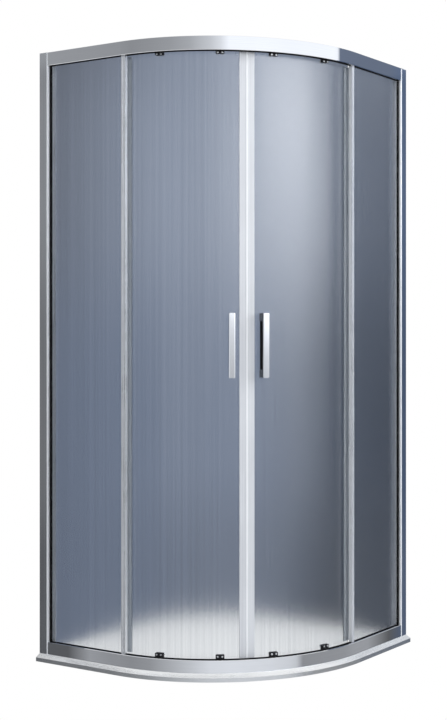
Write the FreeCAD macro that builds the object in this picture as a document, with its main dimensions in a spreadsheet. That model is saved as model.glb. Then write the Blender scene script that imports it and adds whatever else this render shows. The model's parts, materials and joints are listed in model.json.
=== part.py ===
"""Quadrant corner shower enclosure with two fixed panels and two curved sliding doors.

The enclosure stands with +Z up and its origin under the middle of its box. The left wall is at the low X
side, the right wall at the high Y side, and the doors meet on the diagonal that faces +X and -Y. The right
half is modelled about the centre of the corner arc, and the left half is its mirror image.
"""
import FreeCAD, Part
import math
import os
from types import SimpleNamespace

import Sketcher

SIZES = (
    # overall
    ("side", 900, "wall to front face of the rails"),
    ("corner_radius", 550, "front face of the rails on the arc"),
    ("frame_height", 2000, "rails and wall profiles above the sill"),
    ("fit_gap", 0.3, "room round pieces that seat in another"),
    ("bore_gap", 0.1, "room round a pin or screw in its hole"),
    ("overrun", 5, "how far a cut runs past its piece"),
    # threshold sill
    ("sill_height", 24, "floor to seat of the bottom rail"),
    ("sill_reach", 17.5, "how far the sill stands out from the rails"),
    ("sill_front", 13, "height of the upright front"),
    ("sill_wall", 2.5, "wall of the hollow sill"),
    # rails
    ("rail_depth", 43, "front face to open rear edge"),
    ("rail_wall", 2, "wall of rails, wall profiles and jambs"),
    ("rail_edge", 1, "bevel on the long front edges"),
    ("top_rail_height", 44, "top rail"),
    ("bottom_rail_height", 40, "bottom rail"),
    ("pocket_depth", 9, "front face to glazing pocket"),
    ("pocket_width", 10, "glazing pocket for glass and gasket"),
    ("mid_wall_cut", 6, "how much the inner wall is shorter than the front"),
    ("track_reach", 10.5, "running ledge for the rollers"),
    ("track_level", 24, "rail's closed side to the running face"),
    # wall side
    ("wall_profile_reach", 31, "wall to front edge of the wall profile"),
    ("jamb_start", 14, "wall to back of the jamb"),
    ("jamb_reach", 37, "wall to front edge of the jamb"),
    ("cap_tongue", 10, "depth of the cap's tongue"),
    ("wall_hole_radius", 2.75, "holes for wall screws"),
    ("wall_hole_inset", 150, "profile end to first wall hole"),
    ("block_length", 30, "corner block inside the rail"),
    ("screw_radius", 1.9, "shank of frame screws"),
    ("screw_head_radius", 3.6, "head of frame screws"),
    ("screw_head_height", 2.2, "head of frame screws"),
    ("screw_grip", 9, "screw inside the corner block"),
    # fixed panel
    ("glass_thickness", 5, "all panes"),
    ("gasket_base", 3, "rubber under the glass edge"),
    ("gasket_show", 1.5, "rubber seen beside the rails"),
    ("gasket_side_show", 5, "rubber seen beside the jamb"),
    ("edge_width", 16, "edge profile along the panel"),
    ("edge_depth", 12, "edge profile across the panel"),
    ("edge_past", 13, "edge profile past the start of the arc"),
    ("edge_web", 3.2, "edge profile in front of the glass edge"),
    ("edge_end_gap", 6, "edge profile to rail, filled by a plug"),
    ("edge_groove_width", 4, "groove along the face of the edge profile"),
    ("edge_groove_depth", 0.8, "groove along the face of the edge profile"),
    ("strip_seat", 8, "infill strip inside the empty glazing pocket"),
    # doors
    ("door_web_gap", 4.5, "door glass to the rails' closed sides"),
    ("door_front_gap", 12, "middle of the entrance to the door glass"),
    ("door_rear_angle", 46, "middle of the entrance to the rear glass edge"),
    ("seal_wall", 1.6, "wall of the plastic seals"),
    ("seal_cover", 12, "closing seal over the glass edge"),
    ("seal_nose", 1.5, "bevel on the closing seal"),
    ("meeting_gap", 0.6, "closing seal to the middle of the entrance"),
    ("rear_seal_cover", 25, "rear seal over the glass edge"),
    ("rear_fin_gap", 0.5, "rear fin to edge profile"),
    ("seal_rail_gap", 2, "rear seal to the rails"),
    # carriages and rollers
    ("front_carriage_angle", 9.5, "middle of the entrance to the front carriages"),
    ("rear_carriage_angle", 31.2, "middle of the entrance to the rear carriages"),
    ("carriage_gap", 1, "running ledge to carriage plate"),
    ("plate_thickness", 3, "carriage plate"),
    ("plate_rim", 1.5, "carriage plate round its rollers"),
    ("plate_seat", 0.2, "carriage plate to door glass"),
    ("boss_width", 28, "carriage boss that shows past the rail"),
    ("boss_depth", 7, "carriage boss in front of the plate"),
    ("boss_track_gap", 1.5, "carriage boss to running ledge"),
    ("top_boss_show", 7, "carriage boss below the top rail"),
    ("bottom_boss_show", 12, "carriage boss above the bottom rail"),
    ("boss_round", 3, "rounded corners of the boss"),
    ("roller_radius", 9.5, "roller"),
    ("roller_width", 6.5, "roller"),
    ("roller_pitch", 22, "between twin rollers"),
    ("roller_bevel", 0.8, "roller tread edge"),
    ("roller_hub_radius", 5, "roller hub"),
    ("roller_rim", 2.2, "roller rim outside the side recess"),
    ("roller_recess", 1.2, "roller side recess"),
    ("axle_radius", 3, "roller axle"),
    ("axle_head_radius", 4.5, "axle collar and riveted head"),
    ("axle_head_height", 1.4, "riveted head"),
    ("bolt_radius", 2, "carriage bolt"),
    ("bolt_head_radius", 3.1, "carriage bolt head"),
    ("bolt_head_height", 2.4, "carriage bolt head"),
    ("bolt_pitch", 15, "between the two bolts of a carriage"),
    ("nut_radius", 4.4, "cap nut"),
    ("nut_height", 5, "cap nut"),
    ("nut_roof", 1.2, "closed end of the cap nut"),
    ("glass_hole_radius", 3.2, "holes in the door glass"),
    ("stop_length", 14, "door stop along the rail"),
    ("stop_gap", 1, "door stop to the rail's inner wall"),
    # handles
    ("handle_angle", 5.6, "middle of the entrance to the handle"),
    ("handle_level", 1052, "floor to middle of the handle"),
    ("handle_length", 204, "handle"),
    ("handle_width", 20, "handle"),
    ("handle_reach", 48, "glass to front face of the handle"),
    ("handle_bar", 10, "bar thickness at its middle"),
    ("handle_bow", 3, "bow of the bar's inner face"),
    ("handle_post", 24, "height of the end posts"),
    ("handle_round", 1.2, "rounded edges of the handle"),
    ("pad_width", 16, "rubber pad on the glass behind the bar"),
    ("pad_thickness", 1.2, "rubber pad on the glass behind the bar"),
    ("handle_screw_radius", 2.5, "handle screw"),
    ("handle_screw_grip", 14, "screw inside the post"),
    ("handle_head_radius", 7, "round head inside"),
    ("handle_head_height", 4, "round head inside"),
)

WALL_HOLES = 4
QUARTER_TURN = 90
FULL_TURN = 360
DOOR_STOP_SHARE = 0.528
HEAD_CROWN_SHARE = 0.7
HEAD_EDGE_SHARE = 0.6
NUT_DOME_SHARE = 0.6


class Size:
    """A size as a formula of sheet cells, with its present value."""

    def __init__(self, text, value):
        self.text = text
        self.value = value

    @staticmethod
    def of(thing):
        """Take a size or a plain count as a size."""
        return thing if isinstance(thing, Size) else Size(f"({thing})", thing)

    def __add__(self, other):
        other = Size.of(other)
        return Size(f"({self.text} + {other.text})", self.value + other.value)

    def __sub__(self, other):
        other = Size.of(other)
        return Size(f"({self.text} - {other.text})", self.value - other.value)

    def __mul__(self, other):
        other = Size.of(other)
        return Size(f"({self.text} * {other.text})", self.value * other.value)

    def __truediv__(self, other):
        other = Size.of(other)
        return Size(f"({self.text} / {other.text})", self.value / other.value)

    def __neg__(self):
        return Size(f"(-{self.text})", -self.value)

    def __rsub__(self, other):
        return Size.of(other) - self

    def __rmul__(self, other):
        return Size.of(other) * self


def sine(angle):
    """Sine of an angle in degrees."""
    return Size(f"sin({angle.text})", math.sin(math.radians(angle.value)))


def cosine(angle):
    """Cosine of an angle in degrees."""
    return Size(f"cos({angle.text})", math.cos(math.radians(angle.value)))


def turn_of(length, radius):
    """Angle in degrees of an arc of the given length."""
    ratio = length / radius
    return Size(f"({ratio.text} * 180 / pi)", math.degrees(ratio.value))


doc = FreeCAD.newDocument("corner_shower_enclosure")
sheet = doc.addObject("Spreadsheet::Sheet", "dim")
for row, (alias, value, note) in enumerate(SIZES, start=1):
    sheet.set(f"A{row}", note)
    sheet.set(f"B{row}", str(value))
    sheet.setAlias(f"B{row}", alias)
doc.recompute()
d = SimpleNamespace(**{alias: Size(f"dim.{alias}", sheet.get(alias)) for alias, _, _ in SIZES})
zero = Size.of(0)
nodes = []

# places that several pieces share
run = d.side - d.corner_radius
half_side = (d.side + d.sill_reach) / 2
centre_x = run - half_side
centre_y = half_side - run
seam_heading = Size.of(-QUARTER_TURN / 2)
top = d.sill_height + d.frame_height
top_rail_edge = top - d.top_rail_height
bottom_rail_edge = d.sill_height + d.bottom_rail_height
rail_ceiling = top - d.rail_wall
rail_floor = d.sill_height + d.rail_wall
pocket_end = d.pocket_depth + d.pocket_width
mid_wall_end = pocket_end + d.rail_wall
track_end = mid_wall_end + d.track_reach
plate_front = track_end + d.carriage_gap
plate_back = plate_front + d.plate_thickness
door_face = plate_back + d.plate_seat
door_back = door_face + d.glass_thickness
door_outer = d.corner_radius - door_face
door_inner = d.corner_radius - door_back
door_bottom = rail_floor + d.door_web_gap
door_top = rail_ceiling - d.door_web_gap
fixed_face = d.pocket_depth + (d.pocket_width - d.glass_thickness) / 2
fixed_back = fixed_face + d.glass_thickness
fixed_bottom = rail_floor + d.fit_gap + d.gasket_base
fixed_top = rail_ceiling - d.fit_gap - d.gasket_base
edge_front = (fixed_face + fixed_back - d.edge_depth) / 2
edge_back = edge_front + d.edge_depth
edge_tip = run + d.edge_past
edge_start = edge_tip - d.edge_width
jamb_face = d.rail_wall + d.fit_gap
jamb_back = d.rail_depth - d.rail_wall - d.fit_gap
jamb_web = d.jamb_start + d.rail_wall
top_track = top - d.track_level
bottom_track = d.sill_height + d.track_level
top_axle = top_track + d.fit_gap + d.roller_radius
bottom_axle = bottom_track - d.fit_gap - d.roller_radius
top_bolt = top_rail_edge - d.top_boss_show / 2
bottom_bolt = bottom_rail_edge + d.bottom_boss_show / 2
boss_front = plate_front - d.boss_depth
roller_back = track_end - d.fit_gap
roller_front = roller_back - d.roller_width
handle_foot = door_outer + d.fit_gap
handle_low = d.handle_level - d.handle_length / 2
handle_high = d.handle_level + d.handle_length / 2

plate_half = d.roller_pitch / 2 + d.roller_radius + d.plate_rim
ledge_screw_depth = mid_wall_end + d.track_reach / 2
ledge_screw_along = d.jamb_reach + d.block_length / 2
jamb_screw_along = (jamb_web + d.wall_profile_reach) / 2
jamb_screw_levels = (
    (bottom_track + rail_floor) / 2,
    (d.sill_height + top) / 2,
    (top_track + rail_ceiling) / 2,
)


def out(depth):
    """Distance from the arc's centre of a place that lies a depth behind the rails' front face."""
    return d.corner_radius - depth


def wallward(along):
    """Place on the right run, counted from the start of the arc, of a distance from the wall."""
    return run - along


def plane_of(body, role):
    """Origin plane of a body by its role."""
    return next(feature for feature in body.Origin.OriginFeatures if feature.Role == role)


def sketch_on(body, role, offset=zero):
    """New sketch on an origin plane of the body, moved along the plane's normal."""
    sketch = body.newObject("Sketcher::SketchObject", f"{body.Name}_sketch")
    sketch.AttachmentSupport = (plane_of(body, role), [""])
    sketch.MapMode = "FlatFace"
    sketch.setExpression("AttachmentOffset.Base.z", offset.text)
    return sketch


def hold_point(sketch, geometry, point, place):
    """Hold a point of the sketch at a place given as two sizes."""
    rules = [
        Sketcher.Constraint(kind, -1, 1, geometry, point, size.value)
        for kind, size in zip(("DistanceX", "DistanceY"), place)
    ]
    for index, size in zip(sketch.addConstraint(rules), place):
        sketch.setExpression(f"Constraints[{index}]", size.text)


def draw_loop(sketch, corners, bow_edge=None, bow=None):
    """Draw a closed outline through corners, with one edge bowed to its left if asked for."""
    spots = [FreeCAD.Vector(x.value, y.value, 0) for x, y in corners]
    first = sketch.GeometryCount
    count = len(corners)
    for index, start in enumerate(spots):
        end = spots[(index + 1) % count]
        if index == bow_edge:
            sketch.addGeometry(bowed_edge(start, end, bow.value), False)
        else:
            sketch.addGeometry(Part.LineSegment(start, end), False)
    ends = [drawn_ends(sketch.Geometry[first + index], start) for index, start in enumerate(spots)]
    for index in range(count):
        following = (index + 1) % count
        pair = (first + index, ends[index][1], first + following, ends[following][0])
        sketch.addConstraint(Sketcher.Constraint("Coincident", *pair))
    for index, place in enumerate(corners):
        hold_point(sketch, first + index, ends[index][0], place)
    if bow is not None:
        (x0, y0), (x1, y1) = corners[bow_edge], corners[(bow_edge + 1) % count]
        chord_square = (x1 - x0) * (x1 - x0) + (y1 - y0) * (y1 - y0)
        radius = chord_square / (8 * bow) + bow / 2
        index = sketch.addConstraint(Sketcher.Constraint("Radius", first + bow_edge, radius.value))
        sketch.setExpression(f"Constraints[{index}]", radius.text)


def bowed_edge(start, end, bow):
    """Flat arc between two points that bows to the left of the way between them."""
    chord = end - start
    left = FreeCAD.Vector(-chord.y, chord.x, 0).normalize()
    radius = chord.Length ** 2 / (8 * bow) + bow / 2
    centre = (start + end) / 2 + left * (bow - radius)
    half_turn = math.asin(chord.Length / 2 / radius)
    heading = math.atan2(left.y, left.x)
    circle = Part.Circle(centre, FreeCAD.Vector(0, 0, 1), radius)
    return Part.ArcOfCircle(circle, heading - half_turn, heading + half_turn)


def drawn_ends(edge, start):
    """Point numbers of an edge's first and last end as drawn, because an arc may be kept turned round."""
    first_is_start = (edge.StartPoint - start).Length < (edge.EndPoint - start).Length
    return (1, 2) if first_is_start else (2, 1)


def draw_circles(sketch, centres, radius):
    """Draw equal circles at the given places."""
    for place in centres:
        spot = FreeCAD.Vector(place[0].value, place[1].value, 0)
        geometry = sketch.addGeometry(Part.Circle(spot, FreeCAD.Vector(0, 0, 1), radius.value), False)
        index = sketch.addConstraint(Sketcher.Constraint("Radius", geometry, radius.value))
        sketch.setExpression(f"Constraints[{index}]", radius.text)
        hold_point(sketch, geometry, 3, place)


def box_corners(x0, x1, y0, y1):
    """Corners of a rectangle."""
    return [(x0, y0), (x1, y0), (x1, y1), (x0, y1)]


def pad(body, sketch, length, back=False, both=False):
    """Extrude a sketch."""
    feature = body.newObject("PartDesign::Pad", f"{body.Name}_pad")
    feature.Profile = sketch
    feature.Reversed = back
    feature.SideType = "Symmetric" if both else "One side"
    feature.setExpression("Length", length.text)
    return feature


def pocket(body, sketch, length):
    """Cut a sketch out of the body, along the normal of its plane, and see that it cut."""
    doc.recompute()
    before = body.Shape.Volume
    feature = body.newObject("PartDesign::Pocket", f"{body.Name}_pocket")
    feature.Profile = sketch
    feature.Reversed = True
    feature.setExpression("Length", length.text)
    doc.recompute()
    if body.Shape.Volume >= before:
        raise RuntimeError(f"a pocket of {body.Label} cuts nothing")


def revolve(body, sketch, axis, angle, back=False):
    """Turn a sketch about one of its own axes."""
    feature = body.newObject("PartDesign::Revolution", f"{body.Name}_revolution")
    feature.Profile = sketch
    feature.ReferenceAxis = (sketch, [axis])
    feature.Reversed = back
    feature.setExpression("Angle", Size.of(angle).text)


def place(thing, heading=zero, radius=zero, offset=zero, level=zero):
    """Put a piece at the arc's centre, turned to a heading, then moved outwards, sideways and up."""
    x = centre_x + radius * cosine(heading) - offset * sine(heading)
    y = centre_y + radius * sine(heading) + offset * cosine(heading)
    thing.Placement.Rotation = FreeCAD.Rotation(FreeCAD.Vector(0, 0, 1), 1)
    thing.setExpression("Placement.Rotation.Angle", heading.text)
    for axis, size in zip("xyz", (x, y, level)):
        thing.setExpression(f"Placement.Base.{axis}", size.text)


def new_body(label):
    """New body at the centre of the arc."""
    body = doc.addObject("PartDesign::Body", label)
    place(body)
    return body


def upright(label, loops, low, high, heading=zero):
    """Piece of constant plan, from one level to another."""
    body = new_body(label)
    place(body, heading)
    sketch = sketch_on(body, "XY_Plane", low)
    for loop in loops:
        draw_loop(sketch, loop)
    pad(body, sketch, high - low)
    return body


def swept(label, loops, length):
    """Rail of constant section: quarter arc with a straight run at both ends."""
    body = new_body(label)
    right = sketch_on(body, "XZ_Plane")
    left = sketch_on(body, "YZ_Plane")
    for loop in loops:
        draw_loop(right, [(out(depth), level) for depth, level in loop])
        draw_loop(left, [(-out(depth), level) for depth, level in loop])
    revolve(body, right, "V_Axis", QUARTER_TURN, back=True)
    pad(body, right, length, back=True)
    pad(body, left, length, back=True)
    return body


def turned(label, profile, heading=zero, radius=zero, offset=zero, level=zero):
    """Round piece about its own X axis, placed with that axis pointing outwards."""
    body = new_body(label)
    sketch = sketch_on(body, "XY_Plane")
    draw_loop(sketch, profile)
    revolve(body, sketch, "H_Axis", FULL_TURN)
    place(body, heading, radius, offset, level)
    return body


def group(label, pieces):
    """Several separate solids under one name."""
    compound = doc.addObject("Part::Compound", label)
    compound.Links = pieces
    return compound


def cut(label, base, tools):
    """Base piece with tools taken away."""
    result = doc.addObject("Part::Cut", label)
    result.Base = base
    result.Tool = tools[0] if len(tools) == 1 else group(f"{label}_tools", tools)
    return result


def block(label, depths, alongs, levels):
    """Box on the right run, from depths behind the front face, distances from the wall and levels."""
    box = doc.addObject("Part::Box", label)
    box.setExpression("Length", (depths[1] - depths[0]).text)
    box.setExpression("Width", (alongs[1] - alongs[0]).text)
    box.setExpression("Height", (levels[1] - levels[0]).text)
    box.setExpression("Placement.Base.x", (centre_x + out(depths[1])).text)
    box.setExpression("Placement.Base.y", (centre_y + wallward(alongs[1])).text)
    box.setExpression("Placement.Base.z", levels[0].text)
    return box


def mirrored(piece, label):
    """Mirror image on the left of a piece on the right."""
    image = doc.addObject("Part::Mirroring", label)
    image.Source = piece
    image.Base = (0, 0, 0)
    image.Normal = (1, 1, 0)
    return image


def keep(*pieces):
    """Hand pieces in under their labels."""
    nodes.extend(pieces)


def keep_pair(piece):
    """Hand in a piece of the right side and its mirror image."""
    keep(piece, mirrored(piece, piece.Label.replace("_right", "_left")))


def plan(corners):
    """Plan outline on the right run from distances behind the front face and from the wall."""
    return [(out(depth), wallward(along)) for depth, along in corners]


def screw_profile(head_radius, head_height, shank_radius, length):
    """Half section of a screw whose head ends at zero and whose shank points outwards."""
    return [
        (-head_height, zero),
        (-head_height, head_radius * HEAD_CROWN_SHARE),
        (-head_height * HEAD_EDGE_SHARE, head_radius),
        (zero, head_radius),
        (zero, shank_radius),
        (length, shank_radius),
        (length, zero),
    ]


def make_sill():
    """Hollow strip on the floor with a sloped front and one inner rib."""
    inner = d.rail_depth - d.sill_wall
    rib = d.rail_depth / 2
    slope_run = d.sill_reach - d.sill_wall
    shell = [
        (d.rail_depth, zero),
        (-d.sill_reach, zero),
        (-d.sill_reach, d.sill_front),
        (zero, d.sill_height),
        (d.rail_depth, d.sill_height),
    ]
    ceiling = d.sill_height - d.sill_wall
    rear_hollow = box_corners(inner, rib, d.sill_wall, ceiling)
    front_hollow = [
        (rib - d.sill_wall, d.sill_wall),
        (-slope_run, d.sill_wall),
        (-slope_run, d.sill_front - d.sill_wall / 2),
        (zero, ceiling),
        (rib - d.sill_wall, ceiling),
    ]
    keep(swept("threshold_sill", [shell, rear_hollow, front_hollow], run))


def rail_loops(closed, edge, ledge_back, ledge_run):
    """Section of a rail from its closed side to its open edge, given as levels, and its hollow front."""
    way = 1 if edge.value > closed.value else -1
    wall = d.rail_wall * way
    bevel = d.rail_edge * way
    stop = edge - d.mid_wall_cut * way
    shell = [
        (d.rail_edge, closed),
        (d.rail_depth, closed),
        (d.rail_depth, closed + wall),
        (mid_wall_end, closed + wall),
        (mid_wall_end, ledge_run),
        (track_end, ledge_run),
        (track_end, ledge_back),
        (mid_wall_end, ledge_back),
        (mid_wall_end, stop),
        (pocket_end, stop),
        (pocket_end, closed + wall),
        (d.pocket_depth, closed + wall),
        (d.pocket_depth, edge),
        (d.rail_edge, edge),
        (zero, edge - bevel),
        (zero, closed + bevel),
    ]
    hollow = box_corners(d.rail_wall, d.pocket_depth - d.rail_wall, closed + wall, edge - wall)
    return [shell, hollow]


def make_rails():
    """Top and bottom rail, each with two screw holes in its running ledge."""
    length = run - d.jamb_reach
    ledges = (
        ("top_rail", top, top_rail_edge, top_track - d.rail_wall, top_track),
        ("bottom_rail", d.sill_height, bottom_rail_edge, bottom_track + d.rail_wall, bottom_track),
    )
    hole = d.screw_radius + d.bore_gap
    for label, closed, edge, ledge_back, ledge_run in ledges:
        rail = swept(label, rail_loops(closed, edge, ledge_back, ledge_run), length)
        low = ledge_back if label == "top_rail" else ledge_run
        sketch = sketch_on(rail, "XY_Plane", low - d.rail_wall)
        places = [(out(ledge_screw_depth), wallward(ledge_screw_along))]
        places.append((-wallward(ledge_screw_along), -out(ledge_screw_depth)))
        draw_circles(sketch, places, hole)
        pocket(rail, sketch, 3 * d.rail_wall)
        keep(rail)


def make_infill_strips():
    """Rubber strips that close the rails' glazing pockets along the arc, where no fixed glass stands."""
    start = turn_of(d.edge_past + d.fit_gap, out(pocket_end))
    depths = (d.pocket_depth + d.fit_gap, pocket_end - d.fit_gap)
    strips = []
    for label, seat, lip in (
        ("infill_strip_top", top_rail_edge + d.strip_seat, top_rail_edge - d.gasket_show),
        ("infill_strip_bottom", bottom_rail_edge - d.strip_seat, bottom_rail_edge + d.gasket_show),
    ):
        strip = new_body(label)
        sketch = sketch_on(strip, "XZ_Plane")
        low, high = (lip, seat) if lip.value < seat.value else (seat, lip)
        draw_loop(sketch, box_corners(out(depths[1]), out(depths[0]), low, high))
        revolve(strip, sketch, "V_Axis", QUARTER_TURN - 2 * start, back=True)
        place(strip, -start)
        strips.append(strip)
    keep(group("infill_strips", strips))


def make_wall_side():
    """Wall profile, jamb and cap."""
    channel = plan([
        (zero, zero),
        (d.rail_depth, zero),
        (d.rail_depth, d.wall_profile_reach),
        (d.rail_depth - d.rail_wall, d.wall_profile_reach),
        (d.rail_depth - d.rail_wall, d.rail_wall),
        (d.rail_wall, d.rail_wall),
        (d.rail_wall, d.wall_profile_reach),
        (zero, d.wall_profile_reach),
    ])
    profile = upright("wall_profile_right", [channel], d.sill_height, rail_ceiling)
    span = d.frame_height - d.rail_wall - 2 * d.wall_hole_inset
    rows = [d.sill_height + d.wall_hole_inset + span * row / (WALL_HOLES - 1) for row in range(WALL_HOLES)]
    sketch = sketch_on(profile, "XZ_Plane", -(run + d.overrun))
    draw_circles(sketch, [(out(d.rail_depth / 2), level) for level in rows], d.wall_hole_radius)
    pocket(profile, sketch, 2 * d.overrun)

    comb = plan([
        (jamb_face, d.jamb_start),
        (jamb_back, d.jamb_start),
        (jamb_back, d.jamb_reach),
        (jamb_back - d.rail_wall, d.jamb_reach),
        (jamb_back - d.rail_wall, jamb_web),
        (mid_wall_end, jamb_web),
        (mid_wall_end, d.jamb_reach),
        (pocket_end, d.jamb_reach),
        (pocket_end, jamb_web),
        (d.pocket_depth, jamb_web),
        (d.pocket_depth, d.jamb_reach),
        (jamb_face, d.jamb_reach),
    ])
    hollow = plan(box_corners(
        jamb_face + d.rail_wall, d.pocket_depth - d.rail_wall, jamb_web, d.jamb_reach - d.rail_wall
    ))
    jamb = upright("jamb_profile_right", [comb, hollow], d.sill_height, rail_ceiling)

    hole = d.screw_radius + d.bore_gap
    for piece, depth in ((profile, d.rail_depth), (jamb, jamb_back)):
        sketch = sketch_on(piece, "YZ_Plane", out(depth) - d.overrun)
        places = [(wallward(jamb_screw_along), level) for level in jamb_screw_levels]
        draw_circles(sketch, places, hole)
        pocket(piece, sketch, d.overrun + 2 * d.rail_wall)

    lid = plan([
        (zero, zero),
        (d.rail_depth, zero),
        (d.rail_depth, d.wall_profile_reach),
        (jamb_back, d.wall_profile_reach),
        (jamb_back, d.jamb_reach),
        (jamb_face, d.jamb_reach),
        (jamb_face, d.wall_profile_reach),
        (zero, d.wall_profile_reach),
    ])
    cap = upright("wall_cap", [lid], rail_ceiling, top)
    tongue = sketch_on(cap, "XY_Plane", rail_ceiling)
    draw_loop(tongue, plan(box_corners(
        jamb_face, jamb_back, d.rail_wall + d.fit_gap, d.jamb_start - d.fit_gap
    )))
    pad(cap, tongue, d.cap_tongue, back=True)
    for piece in (profile, jamb):
        keep_pair(piece)
    keep(group("wall_caps", [cap, mirrored(cap, "wall_cap_image")]))


def edge_section(start, tip, groove=True):
    """Plan of the edge profile: a channel over the glass edge, with a groove along its face."""
    slot = [
        (edge_back, start),
        (edge_back, tip),
        (edge_front, tip),
        (edge_front, start),
        (fixed_face - d.fit_gap, start),
        (fixed_face - d.fit_gap, tip - d.edge_web),
        (fixed_back + d.fit_gap, tip - d.edge_web),
        (fixed_back + d.fit_gap, start),
    ]
    if groove:
        low = (start + tip - d.edge_groove_width) / 2
        high = (start + tip + d.edge_groove_width) / 2
        floor = edge_front + d.edge_groove_depth
        slot[3:3] = [(edge_front, high), (floor, high), (floor, low), (edge_front, low)]
    return plan(slot)


def make_fixed_panel():
    """Fixed glass, gasket, edge profile and its end plugs."""
    glass_start = jamb_web + d.fit_gap + d.gasket_base
    glass_tip = edge_tip - d.edge_web - d.fit_gap
    depths = (fixed_face, fixed_back)
    glass = block("fixed_glass_right", depths, (glass_start, glass_tip), (fixed_bottom, fixed_top))

    rubber_depths = (d.pocket_depth + d.fit_gap, pocket_end - d.fit_gap)
    rubber_levels = (rail_floor + d.fit_gap, rail_ceiling - d.fit_gap)
    rubber_alongs = (jamb_web + d.fit_gap, edge_start - d.fit_gap)
    rubber = block("gasket_blank", rubber_depths, rubber_alongs, rubber_levels)
    past_depths = (zero, d.rail_depth)
    window_alongs = (d.jamb_reach + d.gasket_side_show, run + d.overrun)
    window_levels = (bottom_rail_edge + d.gasket_show, top_rail_edge - d.gasket_show)
    window = block("gasket_window", past_depths, window_alongs, window_levels)
    pane = block("gasket_pane", depths, (glass_start, run + d.overrun), (fixed_bottom, fixed_top))
    gasket = cut("glass_gasket_right", rubber, [window, pane])

    low = bottom_rail_edge + d.edge_end_gap
    high = top_rail_edge - d.edge_end_gap
    edge = upright("edge_profile_right", [edge_section(edge_start, edge_tip)], low, high)
    plug_plan = edge_section(edge_start + d.fit_gap, edge_tip, groove=False)
    plugs = [
        upright("edge_plug_low", [plug_plan], bottom_rail_edge + d.fit_gap, low),
        upright("edge_plug_high", [plug_plan], high, top_rail_edge - d.fit_gap),
    ]
    for piece in (glass, gasket, edge):
        keep_pair(piece)
    plugs.extend([mirrored(piece, f"{piece.Label}_image") for piece in plugs])
    keep(group("edge_profile_plugs", plugs))


def make_corner_blocks():
    """Blocks that join rails and jambs, their screws, and the door stops."""
    alongs = (jamb_web + d.fit_gap, d.jamb_reach + d.block_length)
    depths = (mid_wall_end + d.fit_gap, jamb_back - d.rail_wall - d.fit_gap)
    heights = {
        "corner_block_top_right": (top_track + d.fit_gap, rail_ceiling - d.fit_gap),
        "corner_block_bottom_right": (rail_floor + d.fit_gap, bottom_track - d.fit_gap),
    }
    hole = d.screw_radius + d.bore_gap
    for label, (low, high) in heights.items():
        outline = plan(box_corners(depths[0], depths[1], alongs[0], alongs[1]))
        body = upright(label, [outline], low, high)
        is_top = label == "corner_block_top_right"
        level = jamb_screw_levels[-1] if is_top else jamb_screw_levels[0]
        side = sketch_on(body, "YZ_Plane", out(depths[1]) - d.overrun)
        draw_circles(side, [(wallward(jamb_screw_along), level)], hole)
        pocket(body, side, d.overrun + d.screw_grip + d.fit_gap)
        start = low - d.overrun if is_top else high - d.screw_grip - d.fit_gap
        ledge = sketch_on(body, "XY_Plane", start)
        draw_circles(ledge, [(out(ledge_screw_depth), wallward(ledge_screw_along))], hole)
        pocket(body, ledge, d.overrun + d.screw_grip + d.fit_gap)
        keep_pair(body)

    screws = []
    side_length = d.rail_depth - depths[1] + d.screw_grip
    side_profile = screw_profile(d.screw_head_radius, d.screw_head_height, d.screw_radius, side_length)
    for row, level in enumerate(jamb_screw_levels):
        screw = turned(f"jamb_screw_{row}", side_profile, zero, out(d.rail_depth),
                       wallward(jamb_screw_along), level)
        screws.append(screw)
    ledge_length = d.rail_wall + d.fit_gap + d.screw_grip
    ledge_profile = [
        (radius, length)
        for length, radius in screw_profile(
            d.screw_head_radius, d.screw_head_height, d.screw_radius, ledge_length)
    ]
    for label, level, way in (
        ("rail_screw_top", top_track - d.rail_wall, 1),
        ("rail_screw_bottom", bottom_track + d.rail_wall, -1),
    ):
        body = new_body(label)
        sketch = sketch_on(body, "XZ_Plane")
        draw_loop(sketch, [(radius, length * way) for radius, length in ledge_profile])
        revolve(body, sketch, "V_Axis", FULL_TURN)
        place(body, zero, out(ledge_screw_depth), wallward(ledge_screw_along), level)
        screws.append(body)
    screws.extend([mirrored(screw, f"{screw.Label}_image") for screw in screws])
    keep(group("frame_screws", screws))

    face = alongs[1] + (run - alongs[1]) * DOOR_STOP_SHARE
    stop = block("door_stop", (mid_wall_end + d.stop_gap, depths[1]),
                 (face - d.stop_length, face), heights["corner_block_top_right"])
    keep(group("door_stops", [stop, mirrored(stop, "door_stop_image")]))


def make_door_glass():
    """Curved pane with holes for carriage bolts and handle screws."""
    middle = (door_outer + door_inner) / 2
    front = turn_of(d.door_front_gap, middle)
    blank = new_body("door_glass_blank")
    sketch = sketch_on(blank, "XZ_Plane")
    draw_loop(sketch, box_corners(door_inner, door_outer, door_bottom, door_top))
    revolve(blank, sketch, "V_Axis", d.door_rear_angle - front)
    place(blank, seam_heading + front)

    drills = []
    bolts = [
        (d.bolt_pitch / 2 * way, level)
        for way in (-1, 1)
        for level in (top_bolt, bottom_bolt)
    ]
    feet = [(zero, handle_low + d.handle_post / 2), (zero, handle_high - d.handle_post / 2)]
    for name, angle, holes in (
        ("front", d.front_carriage_angle, bolts),
        ("rear", d.rear_carriage_angle, bolts),
        ("handle", d.handle_angle, feet),
    ):
        drill = new_body(f"glass_drill_{name}")
        circles = sketch_on(drill, "YZ_Plane", door_inner - d.overrun)
        draw_circles(circles, holes, d.glass_hole_radius)
        pad(drill, circles, d.glass_thickness + 2 * d.overrun)
        place(drill, seam_heading + angle)
        drills.append(drill)
    keep_pair(cut("door_glass_right", blank, drills))


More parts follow.
